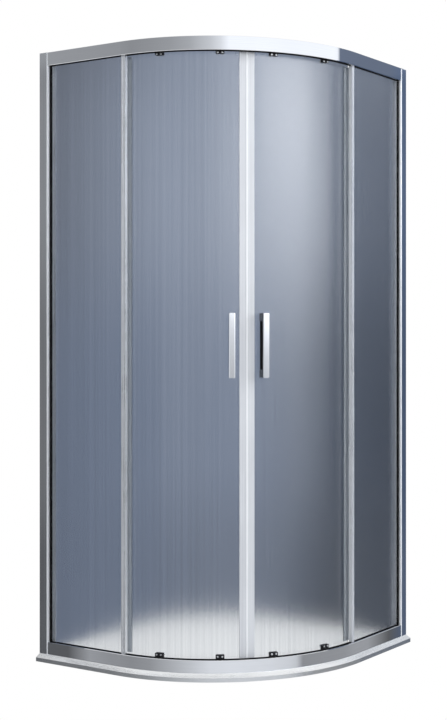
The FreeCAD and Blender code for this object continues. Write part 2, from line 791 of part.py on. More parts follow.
def make_seals():
    """Closing seal with its magnet, and rear seal with its fin, both pushed over the glass edges."""
    middle = (door_outer + door_inner) / 2
    slot_out = door_outer + d.fit_gap
    clip_turn = turn_of(d.door_front_gap + d.seal_cover / 2, middle)
    inner_edge = -d.seal_cover / 2
    tip = d.meeting_gap - d.door_front_gap - d.seal_cover / 2
    bulge = d.seal_cover * d.seal_cover / (8 * middle)
    slot_in = door_inner - d.fit_gap - bulge
    face = slot_out + d.seal_wall
    back = slot_in - d.seal_wall
    clip = [
        (slot_out, d.seal_cover / 2),
        (face, d.seal_cover / 2),
        (face, tip + d.seal_nose),
        (face - d.seal_nose, tip),
        (back + d.seal_nose, tip),
        (back, tip + d.seal_nose),
        (back, d.seal_cover / 2),
        (slot_in, d.seal_cover / 2),
        (slot_in, inner_edge - d.fit_gap),
        (slot_out, inner_edge - d.fit_gap),
    ]
    tunnel_high = inner_edge - d.fit_gap - d.seal_wall
    tunnel = box_corners(slot_in, slot_out, tip + d.seal_wall, tunnel_high)
    heading = seam_heading + clip_turn
    seal = upright("magnetic_seal_right", [clip, tunnel], door_bottom, door_top, heading)
    bar = box_corners(slot_in + d.fit_gap, slot_out - d.fit_gap,
                      tip + d.seal_wall + d.fit_gap, tunnel_high - d.fit_gap)
    magnet = upright("magnet_strip_right", [bar], door_bottom, door_top, heading)

    half_cover = d.rear_seal_cover / 2
    rear_turn = d.door_rear_angle - turn_of(half_cover, middle)
    rear_bulge = d.rear_seal_cover * d.rear_seal_cover / (8 * middle)
    rear_in = door_inner - d.fit_gap - rear_bulge
    rear_back = rear_in - d.seal_wall
    edge = half_cover + d.fit_gap
    end = edge + d.seal_wall
    fin_tip = out(edge_back) - d.rear_fin_gap
    rear = [
        (slot_out, -half_cover),
        (face, -half_cover),
        (face, end - d.seal_wall),
        (fin_tip, end - d.seal_wall),
        (fin_tip, end),
        (rear_back, end),
        (rear_back, -half_cover),
        (rear_in, -half_cover),
        (rear_in, edge),
        (slot_out, edge),
    ]
    low = bottom_rail_edge + d.seal_rail_gap
    high = top_rail_edge - d.seal_rail_gap
    wiper = upright("rear_seal_right", [rear], low, high, seam_heading + rear_turn)
    for piece in (seal, magnet, wiper):
        keep_pair(piece)


def make_handle():
    """D handle with a bowed inner face, the pad behind it and the two screws that hold it from inside."""
    heading = seam_heading + d.handle_angle
    front = door_outer + d.handle_reach
    bar_back = front - d.handle_bar - d.handle_bow
    handle = new_body("handle_right")
    sketch = sketch_on(handle, "XZ_Plane")
    outline = [
        (handle_foot, handle_low),
        (front, handle_low),
        (front, handle_high),
        (handle_foot, handle_high),
        (handle_foot, handle_high - d.handle_post),
        (bar_back, handle_high - d.handle_post),
        (bar_back, handle_low + d.handle_post),
        (handle_foot, handle_low + d.handle_post),
    ]
    draw_loop(sketch, outline, bow_edge=5, bow=d.handle_bow)
    pad(handle, sketch, d.handle_width, both=True)
    doc.recompute()
    solid = handle.Shape.copy()
    solid.Placement = FreeCAD.Placement()
    rounded = handle.newObject("PartDesign::Fillet", "handle_fillet")
    edges = [
        f"Edge{number}"
        for number, edge in enumerate(solid.Edges, start=1)
        if edge.BoundBox.XMax > handle_foot.value + d.handle_bow.value
    ]
    rounded.Base = (handle.Group[-2], edges)
    rounded.setExpression("Radius", d.handle_round.text)
    feet = [(zero, handle_low + d.handle_post / 2), (zero, handle_high - d.handle_post / 2)]
    holes = sketch_on(handle, "YZ_Plane", handle_foot - d.overrun)
    draw_circles(holes, feet, d.handle_screw_radius + d.bore_gap)
    pocket(handle, holes, d.overrun + d.handle_screw_grip + d.fit_gap)
    place(handle, heading)
    keep_pair(handle)

    outline = box_corners(handle_foot, handle_foot + d.pad_thickness, -d.pad_width / 2, d.pad_width / 2)
    low = handle_low + d.handle_post + d.fit_gap
    keep_pair(upright("handle_pad_right", [outline], low, handle_high - d.handle_post - d.fit_gap, heading))

    seat = door_inner - d.fit_gap
    length = handle_foot - seat + d.handle_screw_grip
    profile = screw_profile(d.handle_head_radius, d.handle_head_height, d.handle_screw_radius, length)
    screws = [
        turned(f"handle_screw_{number}", profile, heading, seat, zero, level)
        for number, (_, level) in enumerate(feet)
    ]
    keep_pair(group("handle_screws_right", screws))


def carriage(label, angle, is_top):
    """Carriage plate with roller arms at one end and a boss at the other, seated on the door glass."""
    axle = top_axle if is_top else bottom_axle
    way = 1 if is_top else -1
    tip = axle + (d.axle_head_radius + d.plate_rim) * way
    ledge = top_track if is_top else bottom_track
    boss_end = top_rail_edge - d.top_boss_show if is_top else bottom_rail_edge + d.bottom_boss_show
    boss_start = ledge - (d.rail_wall + d.boss_track_gap) * way
    arm = plate_half if is_top else d.axle_head_radius + d.plate_rim
    half_boss = d.boss_width / 2
    body = new_body(label)
    sketch = sketch_on(body, "YZ_Plane", out(plate_back))
    levels = (boss_end, boss_start, tip)
    draw_loop(sketch, [
        (-half_boss, levels[0]),
        (half_boss, levels[0]),
        (half_boss, levels[1]),
        (arm, levels[1]),
        (arm, levels[2]),
        (-arm, levels[2]),
        (-arm, levels[1]),
        (-half_boss, levels[1]),
    ])
    pad(body, sketch, d.plate_thickness)
    boss = sketch_on(body, "YZ_Plane", out(plate_front))
    draw_loop(boss, box_corners(-half_boss, half_boss, levels[0], levels[1]))
    pad(body, boss, d.boss_depth)
    doc.recompute()
    solid = body.Shape.copy()
    solid.Placement = FreeCAD.Placement()
    rounded = body.newObject("PartDesign::Fillet", f"{label}_fillet")
    near = d.fit_gap.value
    rounded.Base = (body.Group[-2], [
        f"Edge{number}"
        for number, edge in enumerate(solid.Edges, start=1)
        if edge.BoundBox.ZLength < near and edge.BoundBox.YLength < near
        and abs(edge.BoundBox.ZMin - boss_end.value) < near
    ])
    rounded.setExpression("Radius", d.boss_round.text)
    bolt_level = top_bolt if is_top else bottom_bolt
    bolts = sketch_on(body, "YZ_Plane", out(plate_back) - d.overrun)
    bolt_places = [(d.bolt_pitch / 2 * side, bolt_level) for side in (-1, 1)]
    draw_circles(bolts, bolt_places, d.bolt_radius + d.bore_gap)
    pocket(body, bolts, 2 * d.overrun + d.plate_thickness + d.boss_depth)
    axles = sketch_on(body, "YZ_Plane", out(plate_back) - d.overrun)
    axle_places = [(shift, axle) for shift in roller_shifts(is_top)]
    draw_circles(axles, axle_places, d.axle_radius + d.bore_gap)
    pocket(body, axles, 2 * d.overrun + d.plate_thickness)
    place(body, seam_heading + angle)
    return body


def roller_shifts(is_top):
    """Sideways places of a carriage's rollers: two on top, one below."""
    return (-d.roller_pitch / 2, d.roller_pitch / 2) if is_top else (zero,)


def roller_profile():
    """Half section of a roller with side recesses and bevelled tread."""
    bore = d.axle_radius + d.bore_gap
    rim = d.roller_radius - d.roller_rim
    near_side = [
        (zero, bore),
        (zero, d.roller_hub_radius),
        (d.roller_recess, d.roller_hub_radius),
        (d.roller_recess, rim),
        (zero, rim),
        (zero, d.roller_radius - d.roller_bevel),
        (d.roller_bevel, d.roller_radius),
    ]
    return near_side + [(d.roller_width - x, radius) for x, radius in reversed(near_side)]


def axle_profile():
    """Half section of an axle: shank in the plate, collar, journal and riveted head."""
    start = -(plate_back - roller_back)
    collar = -(plate_front - roller_back)
    journal = -d.fit_gap
    head = d.roller_width + d.fit_gap
    return [
        (start, zero),
        (start, d.axle_radius),
        (collar, d.axle_radius),
        (collar, d.axle_head_radius),
        (journal, d.axle_head_radius),
        (journal, d.axle_radius),
        (head, d.axle_radius),
        (head, d.axle_head_radius),
        (head + d.axle_head_height, d.axle_head_radius),
        (head + d.axle_head_height, zero),
    ]


def make_carriages():
    """Four carriages with their rollers, axles, bolts and cap nuts."""
    nut_seat = door_inner - d.fit_gap
    bolt_length = out(boss_front) - nut_seat + d.nut_height - d.nut_roof
    bolt = screw_profile(d.bolt_head_radius, d.bolt_head_height, d.bolt_radius, bolt_length)
    bolt = [(-x, radius) for x, radius in bolt]
    bore = d.bolt_radius + d.bore_gap
    roof = d.nut_roof - d.fit_gap - d.nut_height
    nut = [
        (zero, bore),
        (zero, d.nut_radius),
        (-d.nut_height * NUT_DOME_SHARE, d.nut_radius),
        (-d.nut_height, d.nut_radius * NUT_DOME_SHARE),
        (-d.nut_height, zero),
        (roof, zero),
        (roof, bore),
    ]
    bolts = []
    axles = []
    for end, angle in (("front", d.front_carriage_angle), ("rear", d.rear_carriage_angle)):
        heading = seam_heading + angle
        for level_name, is_top in (("top", True), ("bottom", False)):
            name = f"{level_name}_{end}"
            keep_pair(carriage(f"carriage_{name}_right", angle, is_top))
            axle = top_axle if is_top else bottom_axle
            bolt_level = top_bolt if is_top else bottom_bolt
            for mark, shift in zip("ab", roller_shifts(is_top)):
                label = f"roller_{name}_{mark}_right" if is_top else f"roller_{name}_right"
                spot = (heading, out(roller_back), shift, axle)
                keep_pair(turned(label, roller_profile(), *spot))
                axles.append(turned(f"axle_{name}_{mark}", axle_profile(), *spot))
            for side in (-1, 1):
                shift = d.bolt_pitch / 2 * side
                bolts.append(turned(f"bolt_{name}", bolt, heading, out(boss_front), shift, bolt_level))
                bolts.append(turned(f"nut_{name}", nut, heading, nut_seat, shift, bolt_level))
    keep_pair(group("carriage_bolts_right", bolts))
    keep_pair(group("roller_axles_right", axles))


def write_parts():
    """Check every object, then write each sub-part."""
    doc.recompute()
    for thing in doc.Objects:
        if "Invalid" in thing.State or "Error" in thing.State:
            raise RuntimeError(f"{thing.Label} failed: {thing.State}")
    for piece in nodes:
        if piece.Shape.isNull() or not piece.Shape.isValid() or not piece.Shape.Solids:
            raise RuntimeError(f"{piece.Label} has no valid shape")
    os.makedirs("parts", exist_ok=True)
    for piece in nodes:
        piece.Shape.exportStep(f"parts/{piece.Label}.step")
    print(f"{len(nodes)} sub-parts written")


make_sill()
make_rails()
make_infill_strips()
make_wall_side()
make_fixed_panel()
make_corner_blocks()
make_door_glass()
make_seals()
make_handle()
make_carriages()
write_parts()
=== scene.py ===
"""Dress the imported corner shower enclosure: its finishes, finer fittings, studio and camera."""
import json
import logging
import math
from collections.abc import Callable, Iterable
from dataclasses import dataclass, field
from enum import Enum

import bpy
from mathutils import Matrix, Vector


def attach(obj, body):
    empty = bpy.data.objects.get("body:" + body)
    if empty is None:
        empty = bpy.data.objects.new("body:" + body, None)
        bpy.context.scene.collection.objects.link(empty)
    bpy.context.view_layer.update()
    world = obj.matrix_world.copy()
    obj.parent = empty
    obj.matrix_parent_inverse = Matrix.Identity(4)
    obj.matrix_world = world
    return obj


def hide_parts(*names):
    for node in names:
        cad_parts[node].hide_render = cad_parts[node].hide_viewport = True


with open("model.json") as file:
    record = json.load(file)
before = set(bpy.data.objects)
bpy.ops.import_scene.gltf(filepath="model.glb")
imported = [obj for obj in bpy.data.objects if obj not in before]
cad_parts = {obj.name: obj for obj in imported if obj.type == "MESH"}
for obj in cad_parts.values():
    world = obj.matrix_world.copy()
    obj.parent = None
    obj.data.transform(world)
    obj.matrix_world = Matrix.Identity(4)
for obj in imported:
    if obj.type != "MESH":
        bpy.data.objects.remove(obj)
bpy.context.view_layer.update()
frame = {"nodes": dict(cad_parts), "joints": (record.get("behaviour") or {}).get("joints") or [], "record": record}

log = logging.getLogger("enclosure")

Colour = tuple[float, float, float]
Point = tuple[float, float, float]
Band = tuple[float, float]
Socket = bpy.types.NodeSocket

ARC_CENTRE = Vector((-0.10875, 0.10875, 0.0))
SEAM_HEADING = -45.0
QUARTER_TURN = math.pi / 2
# A face looks along an axis if its normal has at least this share of it.
FACING = 0.9
# Points nearer than this lie in one place.
TOUCH = 1e-5
WHITE: Colour = (1.0, 1.0, 1.0)
DRIED_WATER: Colour = (0.75, 0.76, 0.77)
DRIED_ROUGHNESS = 0.3
GRAIN_HEIGHT = 0.0005
HEXAGON_SIDES = 6


class Side(Enum):
    """Left or right half of the enclosure, as seen by someone about to walk in."""

    LEFT = "left"
    RIGHT = "right"

    def heading(self, angle: float) -> float:
        """Heading in degrees of a place that many degrees from the seam."""
        return SEAM_HEADING + (angle if self is Side.RIGHT else -angle)

    def node(self, name: str) -> str:
        """Name of this half's node."""
        return f"{name}_{self.value}"

    @property
    def door(self) -> str:
        """Name of this half's door body."""
        return f"{self.value}_door"


class Grain(Enum):
    """Which way the fine lines of a finish run, as scales of its pattern along X, Y and Z."""

    UPRIGHT = (260.0, 260.0, 2.0)
    RIBBED = (140.0, 140.0, 0.4)
    ALONG = (6.0, 6.0, 1400.0)
    EVEN = (700.0, 700.0, 700.0)


class Nodes:
    """A shader node tree that is filled in by short calls."""

    # Where a Mix node keeps its colours.
    MIX_COLOURS = (6, 7)
    MIX_RESULT = 2

    def __init__(self, tree: bpy.types.NodeTree) -> None:
        """Take the tree to fill.

        Args:
            tree: the node tree of a material, a group or the world.
        """
        self.tree = tree

    @classmethod
    def blank(cls, owner: bpy.types.Material | bpy.types.World) -> "Nodes":
        """Empty the node tree of a new material or world.

        Args:
            owner: the material or world.

        Returns:
            Its tree, ready to be filled.
        """
        owner.use_nodes = True
        owner.node_tree.nodes.clear()
        return cls(owner.node_tree)

    def lead_out(self, shader: bpy.types.Node, kind: str = "ShaderNodeOutputMaterial") -> None:
        """Lead a shader to a new output node of that kind."""
        self.add(kind, {"Surface": shader.outputs[0]})

    def add(self, kind: str, inputs: dict | None = None, **settings: object) -> bpy.types.Node:
        """Add a node.

        Args:
            kind: the node's type name.
            inputs: values or sockets for its inputs, by socket name or place.
            settings: properties of the node.

        Returns:
            The new node.
        """
        node = self.tree.nodes.new(kind)
        for name, value in settings.items():
            setattr(node, name, value)
        for name, value in (inputs or {}).items():
            socket = node.inputs[name]
            if isinstance(value, Socket):
                self.tree.links.new(value, socket)
            else:
                socket.default_value = value
        return node

    def math(self, operation: str, *values: object) -> Socket:
        """Add a sum of values or sockets.

        Args:
            operation: the Math node's operation.
            values: its inputs in order.

        Returns:
            The result's socket.
        """
        return self.add("ShaderNodeMath", dict(enumerate(values)), operation=operation).outputs[0]

    def span(self, value: object, low: float, high: float, to_low: float, to_high: float) -> Socket:
        """Map a range of values smoothly to another range.

        Args:
            value: the socket to map.
            low: start of the range.
            high: end of the range.
            to_low: result at the start.
            to_high: result at the end.

        Returns:
            The result's socket.
        """
        names = {"Value": value, "From Min": low, "From Max": high, "To Min": to_low, "To Max": to_high}
        return self.add("ShaderNodeMapRange", names, interpolation_type="SMOOTHSTEP").outputs["Result"]

    def mix(self, share: object, first: object, second: object) -> Socket:
        """Mix two colours.

        Args:
            share: how much of the second colour, a value or a socket.
            first: colour or socket at share 0.
            second: colour or socket at share 1.

        Returns:
            The mixed colour's socket.
        """
        node = self.add("ShaderNodeMix", {"Factor": share}, data_type="RGBA")
        for place, colour in zip(self.MIX_COLOURS, (first, second)):
            if isinstance(colour, Socket):
                self.tree.links.new(colour, node.inputs[place])
            else:
                node.inputs[place].default_value = (*colour, 1.0)
        return node.outputs[self.MIX_RESULT]


class Effect:
    """Shared surface effects, each a shader node group that is built once."""

    GRAIN = "fine_grain"
    GRAIN_BAND: Band = (0.3, 0.7)
    MARKS = "water_marks"
    BEND_SCALE = 24.0
    BEND = (0.012, 0.012, 0.012)
    DROP_EDGE: Band = (0.12, 0.3)
    PATCH_SCALE = 7.0
    PATCH_BAND: Band = (0.48, 0.7)

    @staticmethod
    def start(name: str, numbers: dict[str, float], results: Iterable[str]) -> Nodes:
        """Start a group with a vector input, number inputs and number outputs.

        Args:
            name: the group's name.
            numbers: its number inputs and what they are at first.
            results: names of its outputs.

        Returns:
            The group's tree, with its input and output nodes in it.
        """
        group = bpy.data.node_groups.new(name, "ShaderNodeTree")
        group.interface.new_socket("Vector", in_out="INPUT", socket_type="NodeSocketVector")
        for label, value in numbers.items():
            number = group.interface.new_socket(label, in_out="INPUT", socket_type="NodeSocketFloat")
            number.default_value = value
        for label in results:
            group.interface.new_socket(label, in_out="OUTPUT", socket_type="NodeSocketFloat")
        return Nodes(group)

    @classmethod
    def grain(cls) -> bpy.types.NodeTree:
        """Fine lines or specks, with a broad cloudiness under them.

        Returns:
            The group, which puts out a mask.
        """
        if cls.GRAIN in bpy.data.node_groups:
            return bpy.data.node_groups[cls.GRAIN]
        tree = cls.start(cls.GRAIN, {"Cloud": 4.0, "Cloud Share": 0.4}, ("Mask", "Lines"))
        given = tree.add("NodeGroupInput").outputs
        place = tree.add("ShaderNodeTexCoord").outputs["Object"]
        fine = {"Vector": given["Vector"], "Scale": 1.0, "Detail": 3.0, "Roughness": 0.6}
        lines = tree.add("ShaderNodeTexNoise", fine)
        cloud = tree.add("ShaderNodeTexNoise", {"Vector": place, "Scale": given["Cloud"], "Detail": 4.0})
        apart = tree.math("SUBTRACT", cloud.outputs["Fac"], lines.outputs["Fac"])
        both = tree.math("MULTIPLY_ADD", apart, given["Cloud Share"], lines.outputs["Fac"])
        mask = tree.span(both, *cls.GRAIN_BAND, 0.0, 1.0)
        tree.add("NodeGroupOutput", {"Mask": mask, "Lines": lines.outputs["Fac"]})
        return tree.tree

    @classmethod
    def marks(cls) -> bpy.types.NodeTree:
        """Dried drops and runs of water.

        Returns:
            The group, which puts out a mask.
        """
        if cls.MARKS in bpy.data.node_groups:
            return bpy.data.node_groups[cls.MARKS]
        tree = cls.start(cls.MARKS, {"Drops": 90.0, "Amount": 0.3}, ("Mask",))
        given = tree.add("NodeGroupInput").outputs
        rough = {"Vector": given["Vector"], "Scale": cls.BEND_SCALE, "Detail": 2.0}
        bent = tree.add("ShaderNodeTexNoise", rough)
        scaled = {0: bent.outputs["Color"], 1: cls.BEND}
        shift = tree.add("ShaderNodeVectorMath", scaled, operation="MULTIPLY")
        added = {0: given["Vector"], 1: shift.outputs[0]}
        moved = tree.add("ShaderNodeVectorMath", added, operation="ADD")
        spots = {"Vector": moved.outputs[0], "Scale": given["Drops"]}
        drops = tree.add("ShaderNodeTexVoronoi", spots)
        ring = tree.span(drops.outputs["Distance"], *cls.DROP_EDGE, 1.0, 0.0)
        broad = {"Vector": given["Vector"], "Scale": cls.PATCH_SCALE, "Detail": 3.0}
        patch = tree.add("ShaderNodeTexNoise", broad)
        here = tree.span(patch.outputs["Fac"], *cls.PATCH_BAND, 0.0, 1.0)
        found = tree.math("MULTIPLY", tree.math("MULTIPLY", ring, here), given["Amount"])
        tree.add("NodeGroupOutput", {"Mask": found})
        return tree.tree


@dataclass(frozen=True)
class Finish:
    """A surface finish: two tones under a grain, with dried water on top."""

    name: str
    dark: Colour
    light: Colour
    gloss: Band
    grain: Grain = Grain.EVEN
    cloud: float = 4.0
    cloud_share: float = 0.4
    bump: float = 0.02
    marks: float = 0.15
    metallic: float = 0.0
    settings: dict[str, float] = field(default_factory=dict)

    def material(self) -> bpy.types.Material:
        """Build the finish once.

        Returns:
            The material.
        """
        label = f"{self.name}_finish"
        if label in bpy.data.materials:
            return bpy.data.materials[label]
        made = bpy.data.materials.new(label)
        tree = Nodes.blank(made)
        place = tree.add("ShaderNodeTexCoord").outputs["Object"]
        drawn = tree.add("ShaderNodeMapping", {"Vector": place, "Scale": self.grain.value}).outputs[0]
        lines = {"Vector": drawn, "Cloud": self.cloud, "Cloud Share": self.cloud_share}
        grain = tree.add("ShaderNodeGroup", lines, node_tree=Effect.grain())
        drops = {"Vector": place, "Amount": self.marks}
        marks = tree.add("ShaderNodeGroup", drops, node_tree=Effect.marks())
        tone = tree.mix(grain.outputs["Mask"], self.dark, self.light)
        self.shade(tree, self.weather(tree, tone, marks.outputs["Mask"]), grain, marks)
        return made

    def weather(self, tree: Nodes, tone: Socket, mask: Socket) -> Socket:
        """Pale dried water over the tone.

        Args:
            tree: the material's tree.
            tone: the finish's own colour.
            mask: where the water dried.

        Returns:
            The colour's socket.
        """
        return tree.mix(mask, tone, DRIED_WATER)

    def shade(self, tree: Nodes, tone: Socket, grain: bpy.types.Node, marks: bpy.types.Node) -> None:
        """Add the shader.

        Args:
            tree: the material's tree.
            tone: the finished colour.
            grain: the grain's group node.
            marks: the dried water's group node.
        """
        shine = tree.span(grain.outputs["Mask"], 0.0, 1.0, *self.gloss)
        worn = tree.math("MULTIPLY_ADD", marks.outputs["Mask"], DRIED_ROUGHNESS, shine)
        relief = {"Height": grain.outputs["Lines"], "Strength": self.bump, "Distance": GRAIN_HEIGHT}
        bump = tree.add("ShaderNodeBump", relief).outputs[0]
        sockets = {"Base Color": tone, "Roughness": worn, "Normal": bump, "Metallic": self.metallic}
        tree.lead_out(tree.add("ShaderNodeBsdfPrincipled", sockets | self.settings))


@dataclass(frozen=True)
class SlopeShadeFinish(Finish):
    """A finish with painted shade: its upright faces are painted darker than its slopes."""

    # Painted shade: colour of the upright faces, darker than the slopes.
    upright: Colour = (0.60, 0.61, 0.62)
    slope: Band = (0.2, 0.6)

    def weather(self, tree: Nodes, tone: Socket, mask: Socket) -> Socket:
        """Paint shade onto the upright faces and lay the dried water over all.

        Args:
            tree: the material's tree.
            tone: the finish's own colour.
            mask: where the water dried.

        Returns:
            The colour's socket.
        """
        # Painted shade: upright faces take the darker colour, slopes keep the finish's tone.
        facing = tree.add("ShaderNodeTexCoord").outputs["Normal"]
        lift = tree.add("ShaderNodeSeparateXYZ", {0: facing}).outputs["Z"]
        sloped = tree.span(lift, *self.slope, 0.0, 1.0)
        return super().weather(tree, tree.mix(sloped, self.upright, tone), mask)


@dataclass(frozen=True)
class SeamHighlightFinish(Finish):
    """A finish with a painted highlight: a paler band along the upright plane where X and Y add up to nothing."""

    # Painted highlight colour, laid along the seam plane.
    seam_highlight: Colour = (0.95, 0.96, 0.97)
    reach: Band = (0.0032, 0.0040)

    def weather(self, tree: Nodes, tone: Socket, mask: Socket) -> Socket:
        """Lay the painted highlight and then the dried water over the tone.

        Args:
            tree: the material's tree.
            tone: the finish's own colour.
            mask: where the water dried.

        Returns:
            The colour's socket.
        """
        place = tree.add("ShaderNodeTexCoord").outputs["Object"]
        way = tree.add("ShaderNodeSeparateXYZ", {0: place}).outputs
        apart = tree.math("ABSOLUTE", tree.math("ADD", way["X"], way["Y"]))
        # Painted highlight: paler within reach of the seam plane.
        near = tree.span(apart, *self.reach, 1.0, 0.0)
        return super().weather(tree, tree.mix(near, tone, self.seam_highlight), mask)


BRIGHT_ALUMINIUM = Finish(
    "bright_aluminium", (0.72, 0.73, 0.75), (0.78, 0.79, 0.81), (0.004, 0.012), Grain.ALONG,
    metallic=1.0, bump=0.0003, marks=0.02)
UPRIGHT_ALUMINIUM = Finish(
    "upright_aluminium", (0.70, 0.71, 0.73), (0.78, 0.79, 0.81), (0.05, 0.10), Grain.UPRIGHT,
    metallic=1.0, bump=0.01, marks=0.08)
BRUSHED_ALUMINIUM = Finish(
    "brushed_aluminium", (0.76, 0.77, 0.79), (0.84, 0.85, 0.87), (0.25, 0.36), Grain.UPRIGHT,
    metallic=0.75, bump=0.01, marks=0.08)
PALE_ALUMINIUM = Finish(
    "pale_aluminium", (0.84, 0.85, 0.86), (0.92, 0.93, 0.94), (0.25, 0.36), Grain.UPRIGHT,
    metallic=0.35, bump=0.02, marks=0.08)
# The sill's aluminium, with painted shade on its upright faces.
SATIN_ALUMINIUM = SlopeShadeFinish(
    "satin_aluminium", (0.93, 0.94, 0.95), (0.97, 0.98, 0.98), (0.24, 0.32), Grain.ALONG,
    metallic=1.0, bump=0.002, marks=0.02)
FROSTED_GLASS = Finish(
    "frosted_glass", (0.775, 0.805, 0.835), (0.915, 0.94, 0.965), (0.22, 0.24), Grain.RIBBED,
    cloud=1.6, cloud_share=0.22, bump=0.003, marks=0.015,
    settings={"Transmission Weight": 1.0, "IOR": 1.5})
CHROME = Finish(
    "chrome", (0.62, 0.63, 0.65), (0.72, 0.73, 0.75), (0.05, 0.10), metallic=1.0, bump=0.004)
STEEL = Finish("steel", (0.52, 0.53, 0.54), (0.64, 0.65, 0.66), (0.22, 0.34), metallic=1.0)
BLACK_RUBBER = Finish(
    "black_rubber", (0.003, 0.003, 0.0035), (0.008, 0.008, 0.009), (0.7, 0.9), marks=0.01, bump=0.1,
    settings={"Specular IOR Level": 0.1})
BLACK_PLASTIC = Finish(
    "black_plastic", (0.006, 0.006, 0.008), (0.014, 0.014, 0.017), (0.45, 0.6), marks=0.02, bump=0.08,
    settings={"Specular IOR Level": 0.3})
GREY_PLASTIC = Finish("grey_plastic", (0.34, 0.35, 0.37), (0.42, 0.43, 0.45), (0.35, 0.5), bump=0.08)
# The closing seals' finish, with a painted highlight along their meeting beads.
WHITE_SEAL = SeamHighlightFinish(
    "white_seal", (0.56, 0.57, 0.59), (0.66, 0.67, 0.69), (0.35, 0.45), Grain.UPRIGHT,
    settings={"Transmission Weight": 0.2, "IOR": 1.45, "Specular IOR Level": 0.35})
CLEAR_SEAL = Finish(
    "clear_seal", (0.74, 0.78, 0.82), (0.84, 0.87, 0.90), (0.15, 0.25), Grain.UPRIGHT,
    settings={"Transmission Weight": 0.7, "IOR": 1.45})
MAGNET = Finish("magnet", (0.05, 0.045, 0.045), (0.09, 0.085, 0.085), (0.5, 0.65), Grain.UPRIGHT)
NYLON = Finish("roller_nylon", (0.70, 0.70, 0.67), (0.80, 0.80, 0.77), (0.3, 0.45), bump=0.06)
FINISHES = {finish.name: finish for finish in (
    BRIGHT_ALUMINIUM, SATIN_ALUMINIUM, FROSTED_GLASS, CHROME, STEEL, BLACK_RUBBER, BLACK_PLASTIC,
    GREY_PLASTIC, WHITE_SEAL, CLEAR_SEAL, MAGNET, NYLON)}
UPRIGHT_FINISHES = {
    "wall_profile": UPRIGHT_ALUMINIUM, "edge_profile": BRUSHED_ALUMINIUM,
    "jamb_profile": BRUSHED_ALUMINIUM}


def at(heading: float, radius: float, offset: float, level: float) -> Matrix:
    """Place whose X axis points outwards from the arc's centre.

    Args:
        heading: compass heading of the X axis in degrees, counted from the model's X axis.
        radius: distance outwards from the arc's centre.
        offset: distance sideways, to the left of the X axis.
        level: height above the floor.

    Returns:
        The matrix that takes a piece from the origin to that place.
    """
    turn = Matrix.Rotation(math.radians(heading), 4, "Z")
    return Matrix.Translation(ARC_CENTRE) @ turn @ Matrix.Translation((radius, offset, level))


